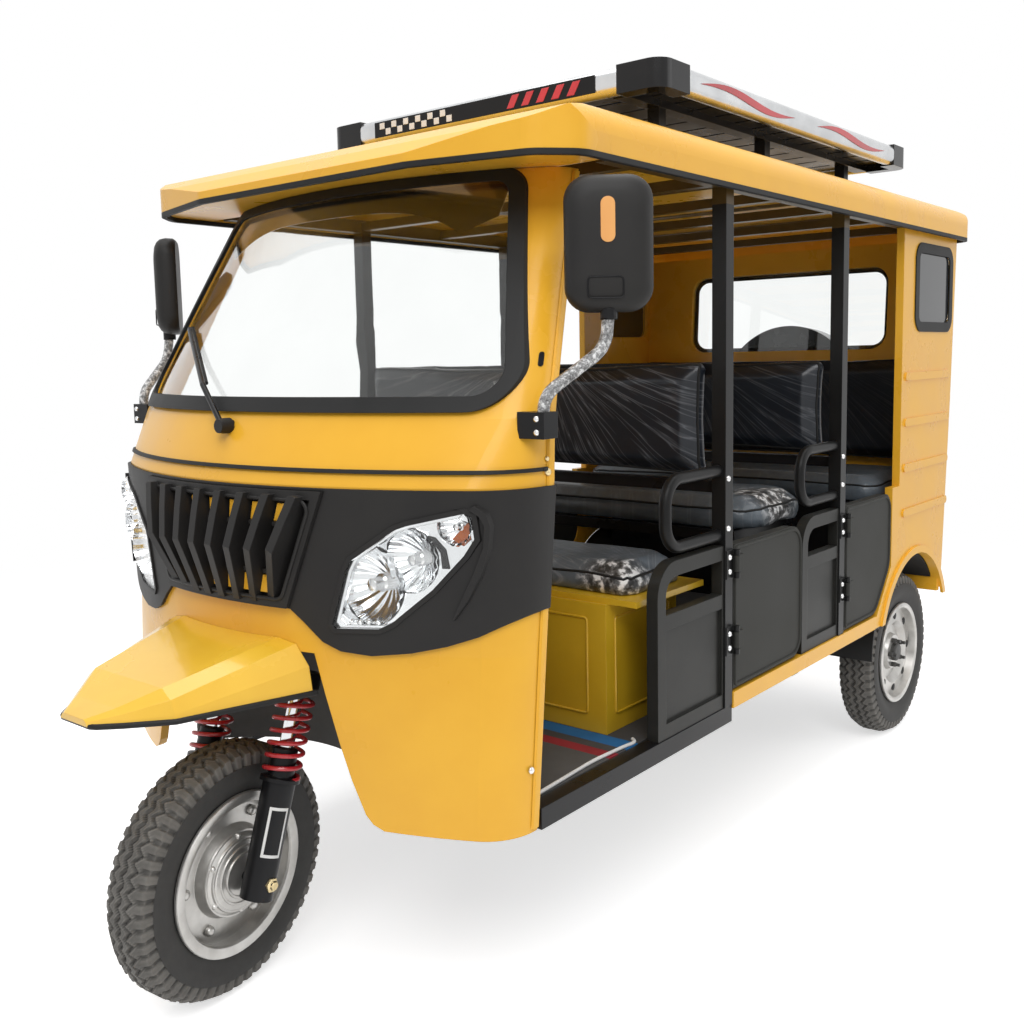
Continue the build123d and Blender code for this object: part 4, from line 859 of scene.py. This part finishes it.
NUT = [(0, 0.009), (0.012, 0.009), (0.015, 0.006), (0.026, 0.006), (0.026, POINT_R)]
HUB_CAP = [(0.034, 0.030), (0.046, 0.030), (0.050, 0.026), (0.052, POINT_R)]
LIP_EDGE = [(0.0575, 0.158), (0.0560, 0.166), (0.0535, 0.167)]
REAR_LIP = [(0.0535, 0.152)] + LIP_EDGE
FRONT_LIP = [(0.0480, 0.143), (0.0545, 0.146)] + LIP_EDGE
LIP_STEPS = 64
NUT_COUNT, NUT_X, NUT_CIRCLE = 5, 0.0345, 0.043
HOLE_COUNT, HOLE_X, HOLE_CIRCLE = 8, 0.0345, 0.122
HOLE_DOME = (0.013, 0.0035)
STUD_COUNT = 6
FRONT_STUDS = [(0.023, 0.121, 0.0, 0.011, 0.012), (0.045, 0.080, 0.5, 0.006, 0.010)]
HUB_RINGS = ((0.047, 0.086), (0.0555, 0.074), (0.061, 0.058), (0.0635, 0.044))
HUB_RING = [(-0.004, 0.004), (0.001, 0.002), (0.001, -0.002), (-0.004, -0.004)]
for wheel, side in rear_wheels:
    outward = wheel.axle * side
    nuts = Shape()
    for point in wheel.around(outward * NUT_X, NUT_CIRCLE, NUT_COUNT):
        nuts.lathe(NUT, point, outward, 6)
    nuts.lathe(HUB_CAP, wheel.hub, outward, 24)
    nuts.piece(f"{wheel.body}_nuts", CASTING, wheel.body)
    lip = Shape().lathe(REAR_LIP, wheel.hub, outward, LIP_STEPS, closed=True)
    lip.piece(f"{wheel.body}_lip", RIM, wheel.body)
    # Painted shade: black domes on the rim stand for the dark inside of its hand holes.
    hand_hole_shades = Shape()
    for point in wheel.around(outward * HOLE_X, HOLE_CIRCLE, HOLE_COUNT):
        hand_hole_shades.dome(point, outward, *HOLE_DOME)
    hand_hole_shades.piece(f"{wheel.body}_hand_hole_shades", RUBBER, wheel.body)

hub, axle = front_wheel.hub, front_wheel.axle
for side, label in SIDES:
    lip = Shape().lathe(FRONT_LIP, hub, axle * side, LIP_STEPS, closed=True)
    lip.piece(f"front_wheel_lip_{label}", RIM, "front_wheel")
front_studs = Shape()
for stud_x, circle, start, radius, tall in FRONT_STUDS:
    for point in front_wheel.around(axle * stud_x, circle, STUD_COUNT, start):
        front_studs.dome(point, axle, radius, tall)
for ring_x, ring_r in HUB_RINGS:
    front_studs.lathe([(ring_x + x, ring_r + r) for x, r in HUB_RING], hub, axle, 48, closed=True)
front_studs.piece("front_hub_studs", RIM, "front_wheel")

# Fork: coil springs on bright rods, spring cups, a bordered sticker and axle nuts
STEER_AXIS = Vector(joints["steering"]["axis"]).normalized()
LEG_X = 0.105
SPRING_LOW, SPRING_HIGH = 0.200, 0.384
SPRING_TURNS = 7
TURN_STEPS = 28
COIL_R = 0.0362
WIRE_R = 0.0046
ROD_LOW = 0.262
ROD_R, ROD_BORE = 0.0154, 0.0140
ROD = [(ROD_LOW, ROD_R), (SPRING_HIGH, ROD_R), (SPRING_HIGH, ROD_BORE), (ROD_LOW, ROD_BORE)]
CUP = [(0.197, 0.0405), (0.205, 0.0405), (0.207, 0.027), (0.262, 0.025), (0.266, 0.0155), (0.197, 0.0155)]
coils = Shape()
rods = Shape()
caps = Shape()
coil_front = STEER_AXIS.cross(axle)
for side, _ in SIDES:
    foot = hub + axle * side * LEG_X
    path = []
    steps = TURN_STEPS * SPRING_TURNS
    for k in range(steps + 1):
        a = 2 * math.pi * SPRING_TURNS * k / steps
        height = SPRING_LOW + WIRE_R + (SPRING_HIGH - SPRING_LOW - 2 * WIRE_R) * k / steps
        path.append(foot + STEER_AXIS * height + (axle * math.cos(a) + coil_front * math.sin(a)) * COIL_R)
    coils.tube(path, WIRE_R)
    rods.lathe(ROD, foot, STEER_AXIS, 24, closed=True)
    caps.lathe(CUP, foot, STEER_AXIS, 28, closed=True)
coils.piece("fork_coils", RED, "fork", slot="red_paint", instead_of="fork_springs")
rods.piece("fork_rods", CHROME, "fork")
caps.piece("fork_spring_caps", BLACK, "fork")

STICKER_R = 0.0334
STICKER_TURN = math.radians(28)
STICKER_COLUMNS = 9
STICKERS = [
    ("slider_sticker_border", WHITE_TRIM, 0.0002, 0.62, 0.052, 0.150),
    ("slider_sticker", BLACK, 0.0005, 0.46, 0.058, 0.144),
]
foot = hub + axle * LEG_X
for name, material, lift, spread, low, high in STICKERS:
    rows = []
    for height in (low, high):
        row = []
        for k in range(STICKER_COLUMNS):
            a = STICKER_TURN + spread * (2 * k / (STICKER_COLUMNS - 1) - 1)
            out = axle * math.cos(a) - coil_front * math.sin(a)
            row.append(foot + STEER_AXIS * height + out * (STICKER_R + lift))
        rows.append(row)
    Shape().grid(rows).piece(name, material, "fork")
AXLE_NUT = [(0.131, 0.015), (0.141, 0.015), (0.143, 0.010), (0.148, 0.009), (0.148, POINT_R)]
axle_nuts = Shape()
for side, _ in SIDES:
    axle_nuts.lathe(AXLE_NUT, hub, axle * side, 6)
axle_nuts.piece("front_axle_nuts", BRASS, "fork")

# Seats: every cushion and backrest starts a little small and is blown up as cloth
VOXEL = 0.010
START_INSET = 0.003
START_DROP = 0.018
SIDE_PULL = 0.012
PUFF_FRAMES = 20
PUFF_PRESSURE = 4.0
PUFF_QUALITY = 4
PUFF_ACROSS = 0.006
PUFF_IN, PUFF_OUT = -0.004, 0.026
PIPING_R = 0.0032
PIPING_HEIGHT = 0.86
OUTLINE_POINTS = 42
CAP_SHARES = (0.02, 0.35, 0.7)
SEAT_PADS = [
    ("driver_cushion", "seat_cushions", 0.550, (0.728, 1.002), (0.750, 0.812), CUSHION, 0.060),
    ("middle_cushion", "seat_cushions", 0.560, (1.290, 1.682), (0.820, 0.894), CUSHION, 0.110),
    ("rear_cushion", "seat_cushions", 0.574, (2.112, 2.536), (0.800, 0.874), CUSHION, 0.070),
    ("driver_backrest", "seat_backrests", 0.568, (1.004, 1.052), (0.984, 1.272), BACKREST, 0.024),
    ("middle_backrest", "seat_backrests", 0.568, (1.684, 1.730), (0.984, 1.266), BACKREST, 0.024),
    ("rear_backrest", "seat_backrests", 0.574, (2.540, 2.588), (0.884, 1.262), BACKREST, 0.024),
]


def limited(value, low, high):
    """Value kept between two limits."""
    return max(low, min(high, value))


class Pad:
    """One padded piece in its own frame: u across, v along its face, w out of what it rests on."""

    def __init__(self, name, node, half, stations, heights, material, corner):
        self.name, self.node, self.half, self.material, self.corner = name, node, half, material, corner
        self.flat = node == "seat_cushions"
        along, out = (stations, heights) if self.flat else (heights, stations)
        self.rest = heights[0] if self.flat else at(stations[1])
        self.reach = (along[1] - along[0]) / 2
        self.middle = (along[1] + along[0]) / 2
        self.thick = out[1] - out[0]

    def world(self, u, v, w):
        """Point of the shared frame."""
        if self.flat:
            return Vector((u, at(self.middle + v), self.rest + w))
        return Vector((u, self.rest - w, self.middle + v))

    def local(self, point):
        """Point of the pad's own frame."""
        if self.flat:
            return Vector((point.x, point.y - at(self.middle), point.z - self.rest))
        return Vector((point.x, point.z - self.middle, self.rest - point.y))

    def outline(self, inset, w):
        """Rounded plan whose sides pull in between the corners."""
        half, reach = self.half - inset, self.reach - inset
        corners = rounded_oblong((-half, -reach), (half, reach), self.corner)
        points = []
        for first, second in zip(corners, corners[1:] + corners[:1]):
            count = max(1, round((second - first).length / (2 * half) * OUTLINE_POINTS))
            points += [first.lerp(second, k / count) for k in range(count)]
        pulled = []
        for p in points:
            u = p.x * (1 - SIDE_PULL / half * max(0, 1 - (p.y / reach) ** 2))
            v = p.y * (1 - SIDE_PULL / reach * max(0, 1 - (p.x / half) ** 2))
            pulled.append(self.world(u, v, w))
        return pulled

    def cap(self, ring):
        """Rings drawn in towards the middle of one, the smallest first."""
        middle = sum(ring, Vector()) / len(ring)
        return [[middle.lerp(p, share) for p in ring] for share in CAP_SHARES]

    def start(self):
        """Closed form that the cloth starts from."""
        top = self.thick - START_DROP
        low_edge = self.outline(START_INSET + 0.004, 0.0)
        high_edge = self.outline(START_INSET + 0.009, top)
        sides = [self.outline(START_INSET, 0.3 * top), self.outline(START_INSET + 0.001, 0.75 * top)]
        rings = [*self.cap(low_edge), low_edge, *sides, high_edge, *reversed(self.cap(high_edge))]
        self.obj = Shape().ring_stack(rings).piece(self.name, self.material)
        remesh = self.obj.modifiers.new("even_mesh", "REMESH")
        remesh.mode = "VOXEL"
        remesh.voxel_size = VOXEL
        self.apply()
        self.before = [self.local(v.co) for v in self.obj.data.vertices]

    def apply(self):
        """Turns the modifiers' result into the mesh."""
        seen = self.obj.evaluated_get(bpy.context.evaluated_depsgraph_get())
        mesh = bpy.data.meshes.new_from_object(seen)
        old = self.obj.data
        self.obj.modifiers.clear()
        self.obj.data = mesh
        bpy.data.meshes.remove(old)
        mesh.name = self.name

    def blow(self):
        """Cloth with pressure and no weight."""
        cloth = self.obj.modifiers.new("puff", "CLOTH")
        cloth.settings.use_pressure = True
        cloth.settings.uniform_pressure_force = PUFF_PRESSURE
        cloth.settings.effector_weights.gravity = 0.0
        cloth.settings.quality = PUFF_QUALITY
        cloth.point_cache.frame_start = 1
        cloth.point_cache.frame_end = PUFF_FRAMES

    def settle(self):
        """Keeps the pad in its place: limited swelling, flat where it rests."""
        for vertex, before in zip(self.obj.data.vertices, self.before):
            move = self.local(vertex.co) - before
            u = before.x + limited(move.x, -PUFF_ACROSS, PUFF_ACROSS)
            v = before.y + limited(move.y, -PUFF_ACROSS, PUFF_ACROSS)
            w = max(0.0, before.z + limited(move.z, PUFF_IN, PUFF_OUT))
            vertex.co = self.world(u, v, w)
        self.obj.data.shade_smooth()
        smooth = self.obj.modifiers.new("finer", "SUBSURF")
        smooth.levels = 1
        smooth.render_levels = 1

    def piping(self):
        """Sewn edge round the face."""
        work = bmesh.new()
        work.from_mesh(self.obj.data)
        surface = BVHTree.FromBMesh(work)
        edge = self.outline(START_INSET - 0.006, self.thick * PIPING_HEIGHT)
        path = [surface.find_nearest(p)[0] for p in edge]
        work.free()
        Shape().tube(path, PIPING_R, closed=True).piece(f"{self.name}_piping", RUBBER)


pads = [Pad(*row) for row in SEAT_PADS]
for pad in pads:
    pad.start()
for pad in pads:
    pad.blow()
for frame_number in range(1, PUFF_FRAMES + 1):
    bpy.context.scene.frame_set(frame_number)
for pad in pads:
    pad.apply()
bpy.context.scene.frame_set(1)
for pad in pads:
    pad.settle()
    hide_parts(pad.node)
    pad.piping()

# Mirrors: rounded heads on wrapped arms, an amber repeater and a small lid on each back
ARM_R = 0.0115
ARM_PATH = [(0.636, 0.306, 1.146), (0.636, 0.306, 1.212), (0.694, 0.420, 1.296), (0.694, 0.430, 1.362)]
HEAD_MIDDLE = (0.694, at(0.432), 1.482)
HEAD_TURN = math.radians(38)
HEAD_HALF = (0.081, 0.123)
HEAD_CORNER = 0.046
HEAD_SHELLS = [(-0.029, 0.006), (-0.022, 0.001), (-0.004, 0.000), (0.010, 0.003), (0.019, 0.010),
               (0.025, 0.020), (0.028, 0.034), (0.029, 0.052)]
CLAMP_X, CLAMP_HALF = 0.621, 0.030
CLAMP_FRONT, CLAMP_REAR = at(0.286), at(0.328)
CLAMP_LOW, CLAMP_HIGH = 1.136, 1.184
CLAMP_BOLTS = (1.148, 1.172)
CLAMP_BOLT = (0.006, 0.006)
COLLAR = [(0, 0.016), (0.020, 0.016), (0.026, 0.012)]
COLLAR_Z = 1.346
REPEATER = rounded_oblong((-0.016, 0.000), (0.010, 0.080), 0.0125)
REPEATER_FACES = (0.024, 0.0305)
LID = rounded_oblong((-0.040, -0.098), (0.024, -0.060), 0.008)
LID_OUT, LID_R = 0.0292, 0.0016


def on_head(side, u, v, out):
    """Point of a mirror head: across, up and out of its back."""
    x = HEAD_MIDDLE[0] + math.cos(HEAD_TURN) * u + math.sin(HEAD_TURN) * out
    y = HEAD_MIDDLE[1] + math.sin(HEAD_TURN) * u - math.cos(HEAD_TURN) * out
    return Vector((side * x, y, HEAD_MIDDLE[2] + v))


for side, label in SIDES:
    rings = []
    for out, inset in HEAD_SHELLS:
        half, tall = HEAD_HALF[0] - inset, HEAD_HALF[1] - inset
        plan = rounded_oblong((-half, -tall), (half, tall), HEAD_CORNER - 0.4 * inset, 8)
        rings.append([on_head(side, *p, out) for p in plan])
    head = Shape().ring_stack(rings)
    head.piece(f"mirror_head_{label}", MASK, slot="black_plastic", instead_of="mirrors")
    arm_points = [(side * x, at(station), z) for x, station, z in ARM_PATH]
    arm = Shape().tube(smooth_path(arm_points), ARM_R, 14)
    arm.piece(f"mirror_arm_{label}", ARM_FILM, instead_of="mirrors")
    clamp = Shape()
    clamp.box((side * CLAMP_X - CLAMP_HALF, CLAMP_FRONT, CLAMP_LOW),
              (side * CLAMP_X + CLAMP_HALF, CLAMP_REAR, CLAMP_HIGH))
    clamp.lathe(COLLAR, (*arm_points[-1][:2], COLLAR_Z), (0, 0, 1), 16, closed=True)
    clamp.piece(f"mirror_clamp_{label}", BLACK, smooth=False, instead_of="mirrors")
    clamp_bolts = Shape()
    for z in CLAMP_BOLTS:
        clamp_bolts.dome((arm_points[0][0], CLAMP_FRONT, z), FORWARD, *CLAMP_BOLT)
    clamp_bolts.piece(f"mirror_clamp_bolts_{label}", STEEL)
    rings = [[on_head(side, *p, out) for p in REPEATER] for out in REPEATER_FACES]
    Shape().ring_stack(rings).piece(f"mirror_repeater_{label}", AMBER)
    path = [on_head(side, *p, LID_OUT) for p in LID]
    Shape().tube(path, LID_R, 6, closed=True).piece(f"mirror_lid_{label}", BLACK)

# Cab lining under the roof: creased ochre film over ribs
LINING_Z = 1.732
LINING_HALF = 0.600
LINING_FRONT, LINING_REAR = 0.560, 2.700
LINING_ROWS, LINING_COLUMNS = 61, 25
LINING_RIPPLE = 0.0022
RIB_STATIONS = (0.95, 1.42, 1.90, 2.36)
RIB_R = 0.008
RIB_Z = LINING_Z - 0.006
rows = []
for i in range(LINING_ROWS):
    station = LINING_FRONT + (LINING_REAR - LINING_FRONT) * i / (LINING_ROWS - 1)
    row = []
    for j in range(LINING_COLUMNS):
        x = LINING_HALF * (2 * j / (LINING_COLUMNS - 1) - 1)
        ripple = LINING_RIPPLE * math.sin(31 * station + 5 * x) * math.sin(13 * x + 9 * station)
        row.append((x, at(station), LINING_Z + ripple))
    rows.append(row)
Shape().grid(rows).piece("roof_lining", LINING)
ribs = Shape()
for station in RIB_STATIONS:
    ribs.tube([(-LINING_HALF, at(station), RIB_Z), (LINING_HALF, at(station), RIB_Z)], RIB_R)
ribs.piece("roof_ribs", LINING)

# Sun strip along the top of the screen
STRIP_TOP = 1.632
STRIP_HALF = 0.425
STRIP_MIDDLE, STRIP_SAG = 1.585, 0.06
STRIP_BEND = 0.36
STRIP_RISE = 0.5
STRIP_LOW, STRIP_HIGH = -0.0115, -0.0105


def strip_edge(x):
    """Lower edge of the sun strip: sagging towards its ends, then rising."""
    reach = abs(x)
    sag = STRIP_SAG * min(1.0, reach / STRIP_BEND) ** 4
    return STRIP_MIDDLE - sag + STRIP_RISE * max(0.0, reach - STRIP_BEND)


strip_xs = [STRIP_HALF * (k / 20 - 1) for k in range(41)]
strip_edges = [[(x, strip_edge(x)) for x in strip_xs], [(x, STRIP_TOP) for x in strip_xs]]
patch(Shape(), *strip_edges, STRIP_LOW, STRIP_HIGH, 3).piece("sun_strip", TINT)

# Rear side windows: a dark sheet in each, painted shade standing for the shaded inside seen from outside
SIDE_WINDOW = rounded_oblong((2.300, 1.360), (2.616, 1.594), 0.05)
SHADE_FACES = (0.6125, 0.6135)
for side, label in SIDES:
    rings = [[(side * x, at(p.x), p.y) for p in SIDE_WINDOW] for x in SHADE_FACES]
    Shape().ring_stack(rings).piece(f"side_window_shade_{label}", WINDOW_SHADE)

# Doors: rolled edges riding on each door, hinge bolts and grab loop bolts on the posts
DOOR_FACE = 0.614
POST_FACE = 0.616
BEAD_R = 0.0045
MID_POST, REAR_POST = 1.060, 1.738
MID_EDGE = [(1.076, 0.484), (1.444, 0.484), (1.444, 0.820), (1.076, 0.820)]
MID_CORNERS = [0.010, 0.045, 0.052, 0.010]
REAR_EDGE = [(1.754, 0.484), (1.984, 0.484), (2.097, 0.614), (2.097, 0.830), (1.754, 0.830)]
REAR_CORNERS = [0.010, 0.066, 0.084, 0.040, 0.010]
DOORS = [
    ("mid_door", round_corners(MID_EDGE, MID_CORNERS), MID_POST),
    ("rear_door", round_corners(REAR_EDGE, REAR_CORNERS), REAR_POST),
]
HINGE_BOLTS = (0.583, 0.617, 0.768, 0.802)
LOOP_BOLTS = ((MID_POST, (0.872, 0.990)), (REAR_POST, (0.905, 0.985)))
POST_BOLT = (0.0075, 0.007)
HINGE_GAP, LOOP_GAP = 0.018, 0.026
for side, label in SIDES:
    for door, plan, post in DOORS:
        path = [(side * DOOR_FACE, at(p.x), p.y) for p in plan]
        Shape().tube(path, BEAD_R, closed=True).piece(f"{door}_bead_{label}", DOOR, f"{door}_{label}")
        bolts = Shape().side_domes(side, POST_FACE, post - HINGE_GAP, HINGE_BOLTS, *POST_BOLT)
        bolts.piece(f"{door}_post_bolts_{label}", STEEL)
loop_bolts = Shape()
for side, _ in SIDES:
    for post, heights in LOOP_BOLTS:
        loop_bolts.side_domes(side, POST_FACE, post - LOOP_GAP, heights, *POST_BOLT)
loop_bolts.piece("grab_loop_bolts", STEEL)

# Floor mat edge trim
MAT_EDGE = [(0.572, 0.345), (0.566, 0.450), (0.560, 0.550), (0.566, 0.660), (0.572, 0.700), (0.556, 0.712)]
MAT_TRIM_R = 0.004
MAT_TRIM_Z = 0.443
mat_trim = Shape()
for side, _ in SIDES:
    mat_trim.tube(smooth_path([(side * x, at(station), MAT_TRIM_Z) for x, station in MAT_EDGE]), MAT_TRIM_R)
mat_trim.piece("mat_edge_trim", WHITE_TRIM)

# Seat box: pressed panel on the front and one on each side
PANEL_LOW, PANEL_HIGH = 0.480, 0.700
PANEL_CORNER = 0.008
PANEL_BEAD_R = 0.003
FRONT_PANEL = rounded_oblong((-0.440, PANEL_LOW), (0.440, PANEL_HIGH), PANEL_CORNER)
SIDE_PANEL = rounded_oblong((0.745, PANEL_LOW), (0.975, PANEL_HIGH), PANEL_CORNER)
BOX_FRONT, BOX_SIDE = 0.7075, 0.4915
panel_paths = [[(p.x, at(BOX_FRONT), p.y) for p in FRONT_PANEL]]
panel_paths += [[(side * BOX_SIDE, at(p.x), p.y) for p in SIDE_PANEL] for side, _ in SIDES]
box_panels = Shape()
for path in panel_paths:
    box_panels.tube(path, PANEL_BEAD_R, 6, closed=True)
box_panels.piece("seat_box_panels", OCHRE)

# Rack rails: a plain motif of dark band, checks, slanted dashes and waves
RAIL_FACE = 0.5376
RAIL_LOW, RAIL_HIGH = 1.876, 1.916
RAIL_FRONT = 0.8796
BAND_HALF = 0.36
MOTIF_FRONT, MOTIF_REAR = at(RAIL_FRONT - 0.0018), at(RAIL_FRONT - 0.0006)
CHECK_COUNT, CHECK_START, CHECK_STEP, CHECK_WIDTH, CHECK_TALL = 12, -0.34, 0.022, 0.018, 0.016
CHECK_LIFTS = (0.020, 0.004)
SLANT_COUNT, SLANT_START, SLANT_STEP, SLANT_WIDTH, SLANT_LEAN = 5, 0.10, 0.045, 0.022, 0.018
SLANT_MARGIN = 0.005
WAVES = ((1.05, 1.55), (1.70, 2.20))
WAVE_POINTS = 25
WAVE_MIDDLE, WAVE_SWING = RAIL_LOW + 0.020, 0.010
WAVE_HALF, WAVE_TIP = 0.009, 0.0004
MOTIF_THICK = 0.0010
BAND_FRONT, BAND_REAR = at(RAIL_FRONT - MOTIF_THICK), at(RAIL_FRONT)
band = Shape().box((-BAND_HALF, BAND_FRONT, RAIL_LOW), (BAND_HALF, BAND_REAR, RAIL_HIGH))
checks = Shape()
for k in range(CHECK_COUNT):
    x = CHECK_START + CHECK_STEP * k
    z = RAIL_LOW + CHECK_LIFTS[k % 2]
    checks.box((x, MOTIF_FRONT, z), (x + CHECK_WIDTH, MOTIF_REAR, z + CHECK_TALL))
slants = Shape()
for k in range(SLANT_COUNT):
    rings = []
    for lean, z in ((0.0, RAIL_LOW + SLANT_MARGIN), (SLANT_LEAN, RAIL_HIGH - SLANT_MARGIN)):
        x = SLANT_START + SLANT_STEP * k + lean
        rings.append([(x, MOTIF_FRONT, z), (x + SLANT_WIDTH, MOTIF_FRONT, z),
                      (x + SLANT_WIDTH, MOTIF_REAR, z), (x, MOTIF_REAR, z)])
    slants.ring_stack(rings)


def wave_edge(x, start, end, up):
    """Upper (1) or lower (-1) edge of a wave along a side rail."""
    edge = []
    for k in range(WAVE_POINTS):
        t = k / (WAVE_POINTS - 1)
        middle = WAVE_MIDDLE + WAVE_SWING * math.sin(2 * math.pi * t)
        half = WAVE_HALF * math.sin(math.pi * t) + WAVE_TIP
        edge.append((x, at(start + (end - start) * t), middle + half * up))
    return edge


for side, _ in SIDES:
    inner, outer = side * RAIL_FACE, side * (RAIL_FACE + MOTIF_THICK)
    for start, end in WAVES:
        corners = ((inner, -1), (inner, 1), (outer, 1), (outer, -1))
        slants.grid([wave_edge(x, start, end, up) for x, up in corners], close_rows=True)
band.piece("rail_band", BLACK, smooth=False)
checks.piece("rail_checks", WHITE_TRIM, smooth=False)
slants.piece("rail_slants", RED, smooth=False)

# Wiper pivot cap and rubber
WIPER_PATH = [(-0.018, 0.093, 1.156), (-0.136, 0.135, 1.237), (-0.416, 0.302, 1.363)]
WIPER = [Vector((x, at(station), z)) for x, station, z in WIPER_PATH]
PIVOT = [(-0.010, POINT_R), (-0.010, 0.014), (0.004, 0.016), (0.018, 0.016)]
BLADE_R = 0.0045
BLADE_SHARES = (0.05, 0.5, 1.05)
BLADE_OFFSET = Vector((0.003, 0.008, -0.003))
Shape().lathe(PIVOT, WIPER[0], (0, 1, 0), 18).piece("wiper_pivot_cap", MASK)
blade_path = [WIPER[1].lerp(WIPER[2], share) + BLADE_OFFSET for share in BLADE_SHARES]
Shape().tube(blade_path, BLADE_R).piece("wiper_rubber", RUBBER)

# Jambs: bolts, a black patch of painted shade for the slotted hole on each pillar's corner, and latch bolts
JAMB_BOLTS = (0.52, 0.86, 0.98)
JAMB_BOLT_GAP = 0.028
JAMB_BOLT = (0.007, 0.006)
PILLAR_ARC = 0.085
# Painted shade: a thin black patch on the pillar's corner stands for the dark inside of the hole.
HOLE = rounded_oblong((0.026, 1.264), (0.037, 1.291), 0.005)
HOLE_RINGS = [[on_corner(p.y, p.x / PILLAR_ARC, out) for p in HOLE] for out in (-0.001, 0.0012)]
LATCH = (0.615, 0.340)
LATCH_BOLTS = ((1.072, 0.008), (1.096, 0.005))
jamb_bolts = Shape()
jamb_hole_shade = Shape()
jamb_latch = Shape()
for side, _ in SIDES:
    for z in JAMB_BOLTS:
        half, jamb = skin_row(z)[:2]
        jamb_bolts.side_domes(side, half, jamb - JAMB_BOLT_GAP, (z,), *JAMB_BOLT)
    jamb_hole_shade.ring_stack(HOLE_RINGS if side == 1 else [mirrored(ring) for ring in HOLE_RINGS])
    for z, radius in LATCH_BOLTS:
        jamb_latch.side_domes(side, *LATCH, (z,), radius, radius)
jamb_bolts.piece("jamb_bolts", STEEL)
jamb_hole_shade.piece("jamb_hole_shade", BLACK)
jamb_latch.piece("jamb_latch_bolts", BRASS)

# Floor, light and camera
FLOOR_SIZE = 60
FLOOR_DEPTH = -0.0005
FLOOR_GLOW = 0.60
FADE_START, FADE_END = 2.0, 5.0
AMBIENT = 0.42
bpy.ops.mesh.primitive_plane_add(size=FLOOR_SIZE, location=(0, 0, FLOOR_DEPTH))
floor = bpy.context.object
floor.name = "floor"
pale = Look("floor_pale")
pale.surface({"Base Color": pale.tones(pale.noise(0.6), grey(0.90), grey(0.92)), "Roughness": 0.9,
              "Specular IOR Level": 0.1})
glow = pale.add("ShaderNodeEmission", {"Strength": pale.seen_level(0.0, FLOOR_GLOW)}, "Emission")
lit = pale.add("ShaderNodeAddShader", {0: pale.shader.outputs["BSDF"], 1: glow}, "Shader")
white = pale.add("ShaderNodeEmission", {"Strength": pale.seen_level(AMBIENT, 1.0)}, "Emission")
fade = pale.span(pale.length(pale.place), FADE_START, FADE_END, curve="SMOOTHSTEP")
blend = pale.add("ShaderNodeMixShader", {0: fade, 1: lit, 2: white}, "Shader")
pale.fill(pale.nodes["Material Output"], {"Surface": blend})
floor.data.materials.append(pale.material)

world = bpy.data.worlds.new("studio")
bpy.context.scene.world = world
sky = Tree(world)
sky.fill(sky.nodes["Background"], {"Color": (1, 1, 1, 1), "Strength": sky.seen_level(AMBIENT, 1.0)})


def area_light(name, spot, target, size, power):
    """Soft rectangular lamp aimed at a point."""
    data = bpy.data.lights.new(name, "AREA")
    data.shape = "RECTANGLE"
    data.size, data.size_y = size
    data.energy = power
    lamp = bpy.data.objects.new(name, data)
    bpy.context.collection.objects.link(lamp)
    lamp.location = spot
    lamp.rotation_euler = (Vector(target) - Vector(spot)).to_track_quat("-Z", "Y").to_euler()


area_light("key", (3.2, -4.2, 5.2), (0, -0.2, 0.9), (4.0, 3.0), 190)
area_light("top", (0, 0, 6.0), (0, 0, 0), (5.0, 6.0), 230)
area_light("fill", (4.5, 2.5, 2.5), (0, 0.2, 1.0), (3.0, 3.0), 30)

CAMERA_PLACE = Vector((1.805, at(-1.220), 1.282))
YAW = math.radians(39.49)
PITCH = math.radians(6.59)
ROLL = math.radians(-1.19)
FOCAL_PX = 1076.6
CENTRE_PX = (506.7, 481.6)
IMAGE_PX = 1024
SENSOR_MM = 36
forward = Vector((-math.sin(YAW) * math.cos(PITCH), math.cos(YAW) * math.cos(PITCH), -math.sin(PITCH)))
level_right = Vector((math.cos(YAW), math.sin(YAW), 0))
level_up = level_right.cross(forward)
camera_right = level_right * math.cos(ROLL) + level_up * math.sin(ROLL)
camera_up = camera_right.cross(forward)
camera_data = bpy.data.cameras.new("photo_camera")
camera_data.sensor_width = SENSOR_MM
camera_data.lens = FOCAL_PX / IMAGE_PX * SENSOR_MM
camera_data.shift_x = (IMAGE_PX / 2 - CENTRE_PX[0]) / IMAGE_PX
camera_data.shift_y = (CENTRE_PX[1] - IMAGE_PX / 2) / IMAGE_PX
camera = bpy.data.objects.new("photo_camera", camera_data)
bpy.context.collection.objects.link(camera)
turn = Matrix((camera_right, camera_up, -forward)).transposed()
camera.matrix_world = Matrix.Translation(CAMERA_PLACE) @ turn.to_4x4()
bpy.context.scene.camera = camera
bpy.context.scene.view_settings.view_transform = "Standard"
